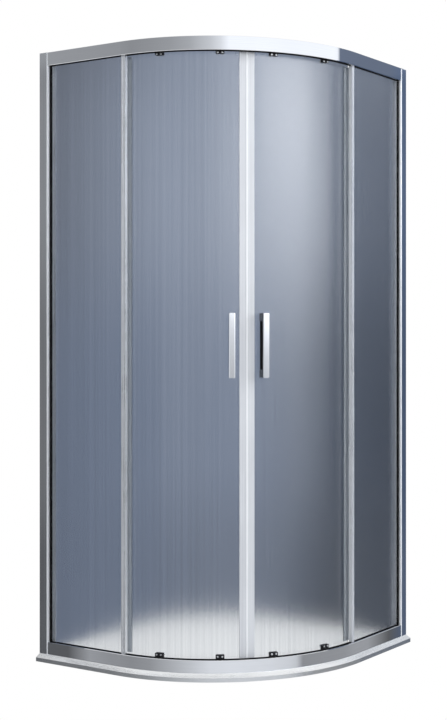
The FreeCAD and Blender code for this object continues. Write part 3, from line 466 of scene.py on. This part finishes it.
class Bench:
    """One new mesh on the modelling bench, shaped with the tools of edit mode."""

    def __init__(self, name: str) -> None:
        """Clear the bench for a piece of that name."""
        self.name = name
        bpy.ops.object.select_all(action="DESELECT")

    @property
    def piece(self) -> bpy.types.Object:
        """The object on the bench."""
        return bpy.data.objects[self.name]

    def cube(self, low: Point, high: Point) -> None:
        """Start from a box.

        Args:
            low: its lowest corner.
            high: its highest corner.
        """
        first, last = Vector(low), Vector(high)
        bpy.ops.mesh.primitive_cube_add(size=1.0, location=(first + last) / 2, scale=last - first)
        bpy.context.object.name = self.name
        bpy.ops.object.transform_apply(location=True, rotation=True, scale=True)

    def cylinder(self, radius: float, start: float, end: float, sides: int = 40) -> None:
        """Start from a round bar along X.

        Args:
            radius: its radius.
            start: where it starts on X.
            end: where it ends on X.
            sides: how many faces go round it.
        """
        bpy.ops.mesh.primitive_cylinder_add(
            vertices=sides, radius=radius, depth=end - start,
            location=((start + end) / 2, 0.0, 0.0), rotation=(0.0, QUARTER_TURN, 0.0))
        bpy.context.object.name = self.name
        bpy.ops.object.transform_apply(location=True, rotation=True, scale=True)

    @staticmethod
    def unpick(kind: str) -> None:
        """Deselect all, ready to select faces or points.

        Args:
            kind: the kind of thing to select, FACE or VERT.
        """
        bpy.ops.object.mode_set(mode="EDIT")
        bpy.ops.mesh.select_mode(type=kind)
        bpy.ops.mesh.select_all(action="DESELECT")
        bpy.ops.object.mode_set(mode="OBJECT")

    def pick(self, test: Callable[[Vector, Vector], bool]) -> None:
        """Select faces in edit mode.

        Args:
            test: says of a face's centre and normal whether it is wanted.
        """
        self.unpick("FACE")
        for face in self.piece.data.polygons:
            face.select = test(face.center, face.normal)
        bpy.ops.object.mode_set(mode="EDIT")

    def pick_points(self, test: Callable[[Vector], bool]) -> None:
        """Select points in edit mode.

        Args:
            test: says of a point's place whether it is wanted.
        """
        self.unpick("VERT")
        for point in self.piece.data.vertices:
            point.select = test(point.co)
        bpy.ops.object.mode_set(mode="EDIT")

    def slice(self, place: Point, normal: Point) -> None:
        """Cut new edges round the whole mesh along a plane.

        Args:
            place: a point on the plane.
            normal: the plane's normal.
        """
        bpy.ops.object.mode_set(mode="EDIT")
        bpy.ops.mesh.select_all(action="SELECT")
        bpy.ops.mesh.bisect(plane_co=place, plane_no=normal)
        bpy.ops.object.mode_set(mode="OBJECT")

    def sink(self, test: Callable[[Vector, Vector], bool], rim: float, depth: float) -> None:
        """Inset faces and push what is inside in or out.

        Args:
            test: says of a face's centre and normal whether it is wanted.
            rim: width that stays round the inset.
            depth: how far it rises, or sinks if negative.
        """
        self.pick(test)
        bpy.ops.mesh.inset(thickness=rim, depth=0.0)
        bpy.ops.mesh.inset(thickness=0.0, depth=depth)
        bpy.ops.object.mode_set(mode="OBJECT")

    def soften(self, width: float, segments: int = 2, angle: float = 30.0) -> None:
        """Round the sharp edges and smooth what is round.

        Args:
            width: width of the rounding.
            segments: faces across it.
            angle: edges sharper than this many degrees are rounded.
        """
        bevel = self.piece.modifiers.new("rounding", "BEVEL")
        bevel.width = width
        bevel.segments = segments
        bevel.limit_method = "ANGLE"
        bevel.angle_limit = math.radians(angle)
        bpy.ops.object.modifier_apply(modifier=bevel.name)
        bpy.ops.object.shade_smooth_by_angle(angle=math.radians(angle))
        level = self.piece.modifiers.new("level_faces", "WEIGHTED_NORMAL")
        level.keep_sharp = True
        bpy.ops.object.modifier_apply(modifier=level.name)

    def carve(self, cutter: "Bench") -> None:
        """Take another bench's piece away from this one and remove it.

        Args:
            cutter: the bench with the piece to take away.
        """
        tool = cutter.piece
        self.hold()
        cutting = self.piece.modifiers.new("recess", "BOOLEAN")
        cutting.operation = "DIFFERENCE"
        cutting.object = tool
        bpy.ops.object.modifier_apply(modifier=cutting.name)
        bpy.data.objects.remove(tool)

    def hold(self) -> None:
        """Make the piece the only selected object."""
        bpy.ops.object.select_all(action="DESELECT")
        self.piece.select_set(True)
        bpy.context.view_layer.objects.active = self.piece

    def copies(self, name: str, places: Iterable[Matrix]) -> bpy.types.Object:
        """Copy the piece to places and join the copies.

        Args:
            name: name of the joined piece.
            places: where the copies go.

        Returns:
            The joined piece, at the origin with its place in its mesh.
        """
        made = []
        for place in places:
            twin = self.piece.copy()
            twin.data = self.piece.data.copy()
            bpy.context.scene.collection.objects.link(twin)
            twin.matrix_world = place
            made.append(twin)
        bpy.ops.object.select_all(action="DESELECT")
        for twin in made:
            twin.select_set(True)
        bpy.context.view_layer.objects.active = made[0]
        bpy.ops.object.transform_apply(location=True, rotation=True, scale=True)
        if len(made) > 1:
            bpy.ops.object.join()
        made[0].name = made[0].data.name = name
        return made[0]

    def clear(self) -> None:
        """Take the model off the bench once its copies are made."""
        bpy.data.objects.remove(self.piece)


def fit(piece: bpy.types.Object, body: str, finish: Finish, node: str | None = None,
        slot: str | None = None) -> None:
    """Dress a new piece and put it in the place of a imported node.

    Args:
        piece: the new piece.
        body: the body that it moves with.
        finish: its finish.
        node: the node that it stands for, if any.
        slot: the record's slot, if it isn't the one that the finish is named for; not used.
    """
    piece.data.materials.clear()
    piece.data.materials.append(finish.material())
    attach(piece, body)
    slot or finish.name
    if node:
        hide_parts(node)
    log.info("%s rides on %s", piece.name, body)


@dataclass
class Handle:
    """A bar handle on two posts, whose inner face is bowed for the fingers."""

    angle: float = 5.6
    foot: float = 0.5146
    front: float = 0.5623
    width: float = 0.020
    low: float = 0.950
    high: float = 1.154
    post: float = 0.024
    bar: float = 0.010
    bow: float = 0.003
    bevel: float = 0.0022
    bevel_depth: float = 0.0010
    rounding: float = 0.0006
    rounding_angle: float = 18.0
    slices: int = 12

    def build(self) -> None:
        """Model the handle once and fit it to both doors."""
        bench = Bench("handle_model")
        back = self.front - self.bar - self.bow
        bench.cube((back, -self.width / 2, self.low), (self.front, self.width / 2, self.high))
        self.shape_front(bench)
        middle = (self.low + self.high) / 2
        half = (self.high - self.low) / 2 - self.post
        levels = [middle - half + 2 * half * step / self.slices for step in range(self.slices + 1)]
        for level in levels:
            bench.slice((back, 0.0, level), (0.0, 0.0, 1.0))
        self.shape_bow(bench, back, middle, half, levels)
        bench.pick(lambda centre, normal: normal.x < -FACING and abs(centre.z - middle) > half)
        inwards = (self.foot - back, 0.0, 0.0)
        bpy.ops.mesh.extrude_region_move(TRANSFORM_OT_translate={"value": inwards})
        bpy.ops.object.mode_set(mode="OBJECT")
        bench.soften(self.rounding, segments=3, angle=self.rounding_angle)
        for side in Side:
            place = at(side.heading(self.angle), 0.0, 0.0, 0.0)
            piece = bench.copies(side.node("bar_handle"), [place])
            fit(piece, side.door, CHROME, side.node("handle"))
        bench.clear()

    def shape_front(self, bench: Bench) -> None:
        """Bevel the long edges of the front.

        Args:
            bench: the bench with the plain bar.
        """
        edge = self.width / 2
        for way in (-1.0, 1.0):
            bench.slice((self.front, way * (edge - self.bevel), 0.0), (0.0, 1.0, 0.0))
        bench.pick_points(lambda place: place.x > self.front - TOUCH and abs(place.y) > edge - TOUCH)
        bpy.ops.transform.translate(value=(-self.bevel_depth, 0.0, 0.0))
        bpy.ops.object.mode_set(mode="OBJECT")

    def shape_bow(self, bench: Bench, back: float, middle: float, half: float,
                  levels: list[float]) -> None:
        """Draw the inner face forward, most at its middle.

        Args:
            bench: the bench with the sliced bar.
            back: where the inner face lies at its ends.
            middle: level of the handle's middle.
            half: half the length between the posts.
            levels: levels of the slices.
        """
        for level in levels:
            draw = self.bow * (1.0 - ((level - middle) / half) ** 2)
            bench.pick_points(lambda place: abs(place.z - level) < TOUCH and abs(place.x - back) < TOUCH)
            bpy.ops.transform.translate(value=(draw, 0.0, 0.0))
            bpy.ops.object.mode_set(mode="OBJECT")


@dataclass
class JambBeads:
    """The pale bead along each jamb, between the wall profile and the glass."""

    face: float = 0.43895
    rise: float = 0.0011
    start: float = 0.42205
    end: float = 0.42755
    low: float = 0.0245
    high: float = 2.0215
    rounding: float = 0.0004

    def build(self) -> None:
        """Model the right bead and turn a copy to the left wall."""
        bench = Bench("jamb_bead_model")
        bench.cube((self.face, self.start, self.low), (self.face + self.rise, self.end, self.high))
        bench.soften(self.rounding, segments=3)
        aside = Matrix.Translation((-self.start - self.end, 0.0, 0.0))
        across = aside @ Matrix.Rotation(-QUARTER_TURN, 4, "Z")
        for side, place in ((Side.RIGHT, Matrix.Identity(4)), (Side.LEFT, across)):
            piece = bench.copies(side.node("jamb_bead"), [place])
            fit(piece, "frame", PALE_ALUMINIUM, slot=BRIGHT_ALUMINIUM.name)
        bench.clear()


@dataclass
class ClosingSeals:
    """The soft seals on the doors' meeting edges, each with a round bead along its nose."""

    middle_angle: float = 1.366
    middle: float = 0.0122
    inner: float = 0.5074
    outer: float = 0.5164
    slot_inner: float = 0.5090
    slot_outer: float = 0.5146
    nose: float = 0.0002
    glass_edge: float = 0.0120
    tail: float = 0.0240
    bead: float = 0.0030
    bead_rise: float = 0.0009
    low: float = 0.0305
    high: float = 2.0175
    rounding: float = 0.0004

    def build(self) -> None:
        """Model the right seal and fit it to both doors, the left one turned over."""
        bench = Bench("closing_seal_model")
        bench.cube((self.inner, self.nose, self.low), (self.outer, self.tail, self.high))
        slot = Bench("closing_seal_slot")
        slot.cube((self.slot_inner, self.glass_edge, self.low - self.bead),
                  (self.slot_outer, 2 * self.tail, self.high + self.bead))
        bench.carve(slot)
        edge = self.nose + self.bead
        bench.slice((0.0, edge, 0.0), (0.0, 1.0, 0.0))
        for way in (1.0, -1.0):
            bench.pick(lambda centre, normal: normal.x * way > FACING and centre.y < edge)
            outwards = (way * self.bead_rise, 0.0, 0.0)
            bpy.ops.mesh.extrude_region_move(TRANSFORM_OT_translate={"value": outwards})
            bpy.ops.object.mode_set(mode="OBJECT")
        bench.soften(self.rounding, segments=3)
        level = (self.low + self.high) / 2
        inwards = Matrix.Translation((0.0, -self.middle, -level))
        over = {Side.RIGHT: Matrix.Identity(4), Side.LEFT: Matrix.Rotation(math.pi, 4, "X")}
        for side in Side:
            place = at(side.heading(self.middle_angle), 0.0, 0.0, level) @ over[side] @ inwards
            piece = bench.copies(side.node("closing_seal"), [place])
            fit(piece, side.door, WHITE_SEAL, side.node("magnetic_seal"))
        bench.clear()


@dataclass
class Rollers:
    """The door rollers, all alike, each on its own body."""

    radius: float = 0.0095
    width: float = 0.0065
    rim: float = 0.0022
    recess: float = 0.0012
    hub: float = 0.0050
    bore: float = 0.0031
    rounding: float = 0.00015
    sides: int = 48

    def build(self) -> None:
        """Model one roller and fit a copy to each roller's axle."""
        bench = Bench("roller_model")
        bench.cylinder(self.radius, -self.width / 2, self.width / 2, self.sides)
        bench.sink(self.is_end, self.rim, -self.recess)
        bench.sink(self.is_end, self.radius - self.rim - self.hub, self.recess)
        bench.sink(self.is_end, self.hub - self.bore, -self.recess / 2)
        bench.pick(self.is_end)
        bpy.ops.mesh.bridge_edge_loops()
        bpy.ops.object.mode_set(mode="OBJECT")
        bench.soften(self.rounding)
        for joint in frame["joints"]:
            node = joint["child"]
            if node.startswith("roller_"):
                piece = bench.copies(f"{node}_wheel", [self.axle(joint)])
                fit(piece, node, NYLON, node)
        bench.clear()

    @staticmethod
    def is_end(centre: Vector, normal: Vector) -> bool:
        """Whether a face of that centre and normal is the middle of an end."""
        return abs(normal.x) > FACING and centre.yz.length < TOUCH

    @staticmethod
    def axle(joint: dict) -> Matrix:
        """Place of a roller from its joint.

        Args:
            joint: the joint that it spins on.

        Returns:
            The matrix that takes the model there.
        """
        turn = Matrix.Rotation(math.atan2(joint["axis"][1], joint["axis"][0]), 4, "Z")
        return Matrix.Translation(joint["pos_m"]) @ turn


class Drive(Enum):
    """What a driver turns in a screw's head."""

    CROSS = "cross"
    HEXAGON = "hexagon"


@dataclass
class Screw:
    """A round headed screw along X, with its head towards low X and ending at zero."""

    name: str
    head_radius: float
    head_height: float
    shank_radius: float
    length: float
    drive: Drive
    sides: int = 32
    crown_rim: float = 0.3
    crown_rise: float = 0.2
    recess_reach: float = 0.52
    recess_depth: float = 0.65
    cross_width: float = 0.2
    rounding: float = 0.08

    def model(self) -> Bench:
        """Model the screw.

        Returns:
            The bench with the finished screw on it.
        """
        bench = Bench(f"{self.name}_model")
        bench.cylinder(self.head_radius, -self.head_height, 0.0, self.sides)
        bench.pick(lambda centre, normal: normal.x > FACING)
        bpy.ops.mesh.inset(thickness=self.head_radius - self.shank_radius, depth=0.0)
        onwards = (self.length, 0.0, 0.0)
        bpy.ops.mesh.extrude_region_move(TRANSFORM_OT_translate={"value": onwards})
        bpy.ops.object.mode_set(mode="OBJECT")
        rim, rise = self.head_radius * self.crown_rim, self.head_height * self.crown_rise
        bench.sink(lambda centre, normal: normal.x < -FACING, rim, rise)
        bench.carve(self.cutter())
        bench.soften(self.head_height * self.rounding)
        return bench

    def cutter(self) -> Bench:
        """Model the recess that the driver turns.

        Returns:
            The bench with the shape to take away.
        """
        crown = self.head_height * (1.0 + self.crown_rise)
        top, floor = -crown - self.head_height * self.crown_rise, self.head_height * self.recess_depth - crown
        reach = self.head_radius * self.recess_reach
        bench = Bench(f"{self.name}_recess")
        if self.drive is Drive.HEXAGON:
            bench.cylinder(reach, top, floor, HEXAGON_SIDES)
            return bench
        half = reach * self.cross_width
        bench.cube((top, -half, -half), (floor, half, half))
        bench.pick(lambda centre, normal: abs(normal.x) < 1.0 - FACING)
        bpy.ops.mesh.extrude_faces_move(TRANSFORM_OT_shrink_fatten={"value": reach - half})
        bpy.ops.object.mode_set(mode="OBJECT")
        return bench


CARRIAGE_BOLT = Screw("carriage_bolt", 0.0031, 0.0024, 0.0020, 0.0193, Drive.HEXAGON)
HANDLE_SCREW = Screw("handle_screw", 0.0070, 0.0040, 0.0025, 0.0196, Drive.HEXAGON)
FRAME_SCREW = Screw("frame_screw", 0.0036, 0.0022, 0.0019, 0.0113, Drive.CROSS)


@dataclass
class CapNut:
    """A hexagon nut with a domed end towards low X and its seat at zero."""

    radius: float = 0.0044
    height: float = 0.0050
    bore: float = 0.0021
    bore_depth: float = 0.0038
    bore_sides: int = 24
    flats: float = 0.55
    shoulder: float = 0.14
    shoulder_rise: float = 0.2
    dome: float = 0.3
    dome_rise: float = 0.25
    rounding: float = 0.05

    def model(self) -> Bench:
        """Model the nut.

        Returns:
            The bench with the finished nut on it.
        """
        bench = Bench("cap_nut_model")
        bench.cylinder(self.radius, -self.height * self.flats, 0.0, HEXAGON_SIDES)
        step, lift = self.radius * self.shoulder, self.height * self.shoulder_rise
        bench.sink(lambda centre, normal: normal.x < -FACING, step, lift)
        bench.pick(lambda centre, normal: normal.x < -FACING)
        bpy.ops.mesh.inset(thickness=self.radius * self.dome, depth=self.height * self.dome_rise)
        bpy.ops.object.mode_set(mode="OBJECT")
        hole = Bench("cap_nut_bore")
        hole.cylinder(self.bore, -self.bore_depth, self.bore_depth, self.bore_sides)
        bench.carve(hole)
        bench.soften(self.radius * self.rounding)
        return bench


@dataclass
class Fasteners:
    """The bolts, nuts and screws that hold the enclosure together."""

    carriage_angles: tuple[float, float] = (9.5, 31.2)
    bolt_pitch: float = 0.015
    bolt_levels: tuple[float, float] = (0.070, 1.9765)
    bolt_seat: float = 0.5246
    nut_seat: float = 0.5090
    handle_angle: float = 5.6
    handle_seat: float = 0.5090
    handle_levels: tuple[float, float] = (0.962, 1.142)
    jamb_seat: tuple[float, float] = (0.39825, 0.43525)
    jamb_levels: tuple[float, float, float] = (0.037, 1.024, 2.011)
    ledge_place: tuple[float, float] = (0.41500, 0.40675)
    ledge_seats: tuple[float, float] = (1.9980, 0.0500)

    def build(self) -> None:
        """Model each kind once and fit all of them."""
        bolt = CARRIAGE_BOLT.model()
        nut = CapNut().model()
        to_bolt = Matrix.Translation((self.bolt_seat, 0.0, 0.0)) @ Matrix.Rotation(math.pi, 4, "Z")
        to_nut = Matrix.Translation((self.nut_seat, 0.0, 0.0))
        for side in Side:
            places = list(self.carriage_places(side))
            bolts = bolt.copies(side.node("bolts"), [place @ to_bolt for place in places])
            nuts = nut.copies(side.node("nuts"), [place @ to_nut for place in places])
            fixings = self.joined(bolts, nuts, side.node("carriage_fixings"))
            fit(fixings, side.door, STEEL, side.node("carriage_bolts"))
        bolt.clear()
        nut.clear()
        self.handle_screws()
        self.frame_screws()

    def carriage_places(self, side: Side) -> Iterable[Matrix]:
        """Axes of a door's carriage bolts, each from the arc's centre line outwards.

        Args:
            side: the door.

        Returns:
            The matrices of the axes.
        """
        for angle in self.carriage_angles:
            for level in self.bolt_levels:
                for shift in (-self.bolt_pitch / 2, self.bolt_pitch / 2):
                    yield at(side.heading(angle), 0.0, shift, level)

    @staticmethod
    def joined(first: bpy.types.Object, second: bpy.types.Object, name: str) -> bpy.types.Object:
        """Join two pieces.

        Args:
            first: the piece that stays.
            second: the piece that goes into it.
            name: the joined piece's name.

        Returns:
            The joined piece.
        """
        bpy.ops.object.select_all(action="DESELECT")
        first.select_set(True)
        second.select_set(True)
        bpy.context.view_layer.objects.active = first
        bpy.ops.object.join()
        first.name = first.data.name = name
        return first

    def handle_screws(self) -> None:
        """Fit the two screws that hold each handle from inside."""
        screw = HANDLE_SCREW.model()
        for side in Side:
            heading = side.heading(self.handle_angle)
            places = [at(heading, self.handle_seat, 0.0, level) for level in self.handle_levels]
            piece = screw.copies(side.node("handle_fixings"), places)
            fit(piece, side.door, STEEL, side.node("handle_screws"))
        screw.clear()

    def frame_screws(self) -> None:
        """Fit the screws that join rails, jambs and corner blocks, mirrored from wall to wall."""
        screw = FRAME_SCREW.model()
        plain, turned = Matrix.Identity(4), Matrix.Rotation(-QUARTER_TURN, 4, "Z")
        upwards = Matrix.Rotation(-QUARTER_TURN, 4, "Y")
        top, bottom = self.ledge_seats
        spots = [((*self.jamb_seat, level), plain, turned) for level in self.jamb_levels]
        spots.append(((*self.ledge_place, top), upwards, upwards))
        spots.append(((*self.ledge_place, bottom), upwards.inverted(), upwards.inverted()))
        places = []
        for (across, along, level), right, left in spots:
            places.append(Matrix.Translation((across, along, level)) @ right)
            places.append(Matrix.Translation((-along, -across, level)) @ left)
        fit(screw.copies("frame_fixings", places), "frame", STEEL, "frame_screws")
        screw.clear()


class Tone(Enum):
    """Tint of the light from a part of the studio wall."""

    PALE = (0.96, 0.99, 1.04)
    HAZE = (0.845, 0.96, 1.22)
    DUSK = (0.785, 0.95, 1.31)
    DEEP = (0.55, 0.85, 1.50)


@dataclass(frozen=True)
class Stop:
    """Light from one heading of the studio wall."""

    heading: float
    level: float
    tone: Tone = Tone.PALE

    @property
    def share(self) -> float:
        """Heading as a share of the full turn from -180 degrees."""
        return (self.heading + 180.0) / 360.0

    @property
    def colour(self) -> tuple[float, float, float, float]:
        """The light's colour."""
        return (*(self.level * part for part in self.tone.value), 1.0)


@dataclass
class Studio:
    """The floor, the walls, the light and the camera round the enclosure."""

    wall_radius: float = 7.0
    wall_low: float = -4.0
    wall_high: float = 7.0
    wall_sides: int = 96
    knee: Band = (-0.8, 0.0)
    rise: Band = (0.75, 2.3)
    crown: Band = (3.2, 3.25)
    floor_side: float = 0.895
    floor_round: float = 0.548
    floor_past: Band = (0.09, 0.09)
    floor_back_round: float = 0.36
    floor_level: float = -0.0005
    floor_arc_faces: int = 32
    floor_colour: Colour = (0.86, 0.86, 0.86)
    floor_glow: float = 0.86
    soft_light: Colour = (0.8, 0.83, 0.88)
    key_place: Point = (2.9, -0.3, 2.9)
    key_aim: Point = (0.25, -0.2, 1.6)
    key_size: Band = (2.4, 1.8)
    key_power: float = 40.0
    crown_stops: tuple[Stop, ...] = (
        Stop(-170, 0.12, Tone.DUSK), Stop(-134, 0.4), Stop(-120, 0.345), Stop(-105, 0.375), Stop(-90, 0.42),
        Stop(-76, 0.51), Stop(-62, 0.74), Stop(-55, 0.95), Stop(-49, 1.27), Stop(32, 1.27), Stop(36.2, 1.2),
        Stop(37.2, 0.23, Tone.DUSK), Stop(59.6, 0.22, Tone.DUSK), Stop(60.2, 0.2, Tone.DEEP), Stop(70, 0.8),
        Stop(104, 0.8), Stop(108, 0.04, Tone.DUSK), Stop(114, 0.13, Tone.HAZE), Stop(118, 0.28, Tone.HAZE),
        Stop(130, 0.34, Tone.HAZE), Stop(138, 0.1, Tone.HAZE), Stop(150, 0.04, Tone.DUSK),
        Stop(168, 0.04, Tone.DUSK))
    high_stops: tuple[Stop, ...] = (
        Stop(-170, 0.12, Tone.DUSK), Stop(-134, 0.3), Stop(-120, 0.55), Stop(-105, 0.85), Stop(-90, 0.8),
        Stop(-76, 0.95), Stop(-62, 1.7), Stop(-49, 3.0), Stop(-21, 5.2), Stop(-6, 6.2), Stop(8, 6.2),
        Stop(20, 4.2), Stop(30, 3.0), Stop(36.5, 2.2), Stop(38, 0.23, Tone.DUSK),
        Stop(59.6, 0.2, Tone.DUSK), Stop(60.2, 0.18, Tone.DEEP), Stop(80, 0.12, Tone.DEEP),
        Stop(108, 0.02, Tone.DUSK), Stop(114, 0.08, Tone.HAZE), Stop(118, 0.27, Tone.HAZE),
        Stop(122, 0.28, Tone.HAZE), Stop(131, 0.375, Tone.HAZE), Stop(136, 0.28, Tone.HAZE),
        Stop(140, 0.07, Tone.HAZE), Stop(150, 0.04, Tone.DUSK), Stop(168, 0.04, Tone.DUSK))
    middle_stops: tuple[Stop, ...] = (
        Stop(-170, 0.1, Tone.DUSK), Stop(-134, 0.2), Stop(-120, 0.35), Stop(-103, 0.4), Stop(-97, 1.1),
        Stop(-72, 1.1), Stop(-64, 0.85), Stop(-48, 0.68), Stop(-21, 0.9), Stop(-6, 0.9), Stop(0, 1.4),
        Stop(12, 1.2), Stop(30, 0.5), Stop(38, 0.12), Stop(59.6, 0.08), Stop(60.2, 0.16, Tone.DEEP),
        Stop(80, 0.1, Tone.DEEP), Stop(108, 0.0, Tone.DUSK), Stop(113, 0.01, Tone.DUSK),
        Stop(117, 0.05, Tone.DUSK), Stop(120.5, 0.155, Tone.DUSK), Stop(124, 0.255, Tone.DUSK),
        Stop(129, 0.215, Tone.DUSK), Stop(136, 0.255, Tone.DUSK), Stop(142, 0.1, Tone.DUSK),
        Stop(150, 0.04, Tone.DUSK), Stop(168, 0.04, Tone.DUSK))
    low_stops: tuple[Stop, ...] = (
        Stop(-170, 0.1, Tone.DUSK), Stop(-131.15, 0.13), Stop(-130.95, 0.42), Stop(-129.5, 0.36),
        Stop(-120, 0.33), Stop(-105, 0.37), Stop(-90, 0.53), Stop(-76, 0.7), Stop(-62, 0.9),
        Stop(-48, 0.93), Stop(-21, 0.87), Stop(-6, 0.79), Stop(-1, 0.72), Stop(4, 0.35), Stop(43, 0.37),
        Stop(57.65, 0.43), Stop(57.8, 0.136), Stop(59.6, 0.136), Stop(60.2, 0.16, Tone.DEEP),
        Stop(80, 0.1, Tone.DEEP), Stop(108, 0.0, Tone.DUSK), Stop(117.5, 0.01, Tone.DUSK),
        Stop(120.5, 0.12, Tone.DUSK), Stop(124, 0.18, Tone.DUSK), Stop(128.5, 0.145, Tone.DUSK),
        Stop(136, 0.245, Tone.DUSK), Stop(142, 0.1, Tone.DUSK), Stop(150, 0.04, Tone.DUSK),
        Stop(168, 0.04, Tone.DUSK))
    camera_place: Point = (2.7115, -3.7455, 1.0878)
    camera_turn: float = 32.46
    lens: float = 67.27
    shift: Band = (-0.1199, -0.036)
    sensor: float = 36.0
    sight: float = 100.0

    def build(self) -> None:
        """Set the whole studio up."""
        scene = bpy.context.scene
        scene.view_settings.view_transform = "Standard"
        self.floor()
        self.walls()
        self.world(scene)
        self.key_lamp(scene)
        self.camera(scene)

    @staticmethod
    def seen(tree: Nodes) -> Socket:
        """Whether the camera sees a surface, straight on, in metal or through glass.

        Args:
            tree: the tree to add the test to.

        Returns:
            A socket that is 1 for such rays.
        """
        rays = tree.add("ShaderNodeLightPath").outputs
        mirrored = tree.math("MAXIMUM", rays["Is Camera Ray"], rays["Is Glossy Ray"])
        return tree.math("MAXIMUM", mirrored, rays["Is Transmission Ray"])

    def floor(self) -> None:
        """Lay a pale floor in the shape of the enclosure's plan, drawn out a little past the walls."""
        edge = self.floor_side / 2 - TOUCH
        bench = Bench("floor")
        bpy.ops.mesh.primitive_plane_add(size=self.floor_side, location=(0.0, 0.0, self.floor_level))
        bpy.context.object.name = bench.name
        bpy.ops.object.transform_apply(location=True, rotation=True, scale=True)
        bench.pick_points(lambda place: place.x > 0.0 > place.y)
        self.round_corner(self.floor_round)
        bench.pick_points(lambda place: place.x < -edge)
        bpy.ops.transform.translate(value=(-self.floor_past[0], 0.0, 0.0))
        bench.pick_points(lambda place: place.y > edge)
        bpy.ops.transform.translate(value=(0.0, self.floor_past[1], 0.0))
        bench.pick_points(lambda place: place.x < -edge and place.y > edge)
        self.round_corner(self.floor_back_round)
        bpy.ops.object.mode_set(mode="OBJECT")
        laid = bench.piece
        paint = bpy.data.materials.new("floor_paint")
        tree = Nodes.blank(paint)
        matt = tree.add("ShaderNodeBsdfDiffuse", {"Color": (*self.floor_colour, 1.0)})
        rays = tree.add("ShaderNodeLightPath").outputs
        glow = tree.math("MULTIPLY_ADD", rays["Is Camera Ray"], 1.0 - self.floor_glow, self.floor_glow)
        white = tree.add("ShaderNodeEmission", {"Color": (*WHITE, 1.0), "Strength": glow})
        both = {0: self.seen(tree), 1: matt.outputs[0], 2: white.outputs[0]}
        tree.lead_out(tree.add("ShaderNodeMixShader", both))
        laid.data.materials.append(paint)

    def round_corner(self, radius: float) -> None:
        """Round the selected corner of the floor to that radius."""
        faces = self.floor_arc_faces
        bpy.ops.mesh.bevel(offset=radius, offset_type="OFFSET", segments=faces, affect="VERTICES")

    def walls(self) -> None:
        """Stand a round wall far off, pale in front and dim behind, which the camera sees only mirrored."""
        bpy.ops.object.select_all(action="DESELECT")
        middle, height = (self.wall_low + self.wall_high) / 2, self.wall_high - self.wall_low
        bpy.ops.mesh.primitive_cylinder_add(
            vertices=self.wall_sides, radius=self.wall_radius, depth=height, end_fill_type="NOTHING",
            location=(0.0, 0.0, middle))
        wall = bpy.context.object
        wall.name = "studio_wall"
        bpy.ops.object.transform_apply(location=True, rotation=True, scale=True)
        wall.visible_camera = False
        paint = bpy.data.materials.new("wall_light")
        tree = Nodes.blank(paint)
        place = tree.add("ShaderNodeTexCoord").outputs["Object"]
        way = tree.add("ShaderNodeSeparateXYZ", {0: place}).outputs
        heading = tree.math("ARCTAN2", way["Y"], way["X"])
        share = tree.math("MULTIPLY_ADD", heading, 0.5 / math.pi, 0.5)
        colour = self.ramp(tree, share, self.low_stops)
        bands = ((self.knee, self.middle_stops), (self.rise, self.high_stops), (self.crown, self.crown_stops))
        for levels, stops in bands:
            above = tree.span(way["Z"], *levels, 0.0, 1.0)
            colour = tree.mix(above, colour, self.ramp(tree, share, stops))
        tree.lead_out(tree.add("ShaderNodeEmission", {"Color": colour, "Strength": 1.0}))
        wall.data.materials.append(paint)

    @staticmethod
    def ramp(tree: Nodes, share: Socket, stops: Iterable[Stop]) -> Socket:
        """Add light that changes with the heading.

        Args:
            tree: the tree to add it to.
            share: heading as a share of the full turn.
            stops: light from some headings, in order.

        Returns:
            The colour's socket.
        """
        ramp = tree.add("ShaderNodeValToRGB", {"Fac": share})
        band = ramp.color_ramp.elements
        for stop in stops:
            band.new(stop.share).color = stop.colour
        band[0].color = band[1].color
        band[-1].color = band[-2].color
        return ramp.outputs["Color"]

    def world(self, scene: bpy.types.Scene) -> None:
        """White backdrop, with a plain grey light for all else.

        Args:
            scene: the scene that the world lights.
        """
        world = bpy.data.worlds.new("studio")
        tree = Nodes.blank(world)
        shown = tree.mix(self.seen(tree), self.soft_light, WHITE)
        back = tree.add("ShaderNodeBackground", {"Color": shown, "Strength": 1.0})
        tree.lead_out(back, "ShaderNodeOutputWorld")
        scene.world = world

    def key_lamp(self, scene: bpy.types.Scene) -> None:
        """Hang the soft box that lights the front.

        Args:
            scene: the scene that it lights.
        """
        light = bpy.data.lights.new("key", "AREA")
        light.shape = "RECTANGLE"
        light.size, light.size_y = self.key_size
        light.energy = self.key_power
        lamp = bpy.data.objects.new("key", light)
        lamp.location = self.key_place
        sight = Vector(self.key_aim) - Vector(self.key_place)
        lamp.rotation_euler = sight.to_track_quat("-Z", "Y").to_euler()
        lamp.visible_glossy = False
        scene.collection.objects.link(lamp)

    def camera(self, scene: bpy.types.Scene) -> None:
        """Place the camera at the photograph's viewing angle.

        Args:
            scene: the scene that it looks at.
        """
        camera = bpy.data.cameras.new("camera")
        camera.sensor_width = self.sensor
        camera.lens = self.lens
        camera.shift_x, camera.shift_y = self.shift
        camera.clip_end = self.sight
        holder = bpy.data.objects.new("camera", camera)
        holder.location = self.camera_place
        holder.rotation_euler = (QUARTER_TURN, 0.0, math.radians(self.camera_turn))
        scene.collection.objects.link(holder)
        scene.camera = holder


def dress_nodes() -> None:
    """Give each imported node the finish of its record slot."""
    for piece in frame["record"]["subparts"]:
        node = frame["nodes"][piece["node"]]
        kind = node.name.rsplit("_", 1)[0]
        finish = UPRIGHT_FINISHES.get(kind, FINISHES[piece["material_slot"]])
        node.data.materials.clear()
        node.data.materials.append(finish.material())
        log.info("%s in %s", node.name, finish.name)


def main() -> None:
    """Build the scene in order."""
    logging.basicConfig(level=logging.INFO, format="%(name)s: %(message)s")
    Studio().build()
    dress_nodes()
    for assembly in (JambBeads(), Handle(), ClosingSeals(), Rollers(), Fasteners()):
        assembly.build()


if __name__ == "__main__":
    main()
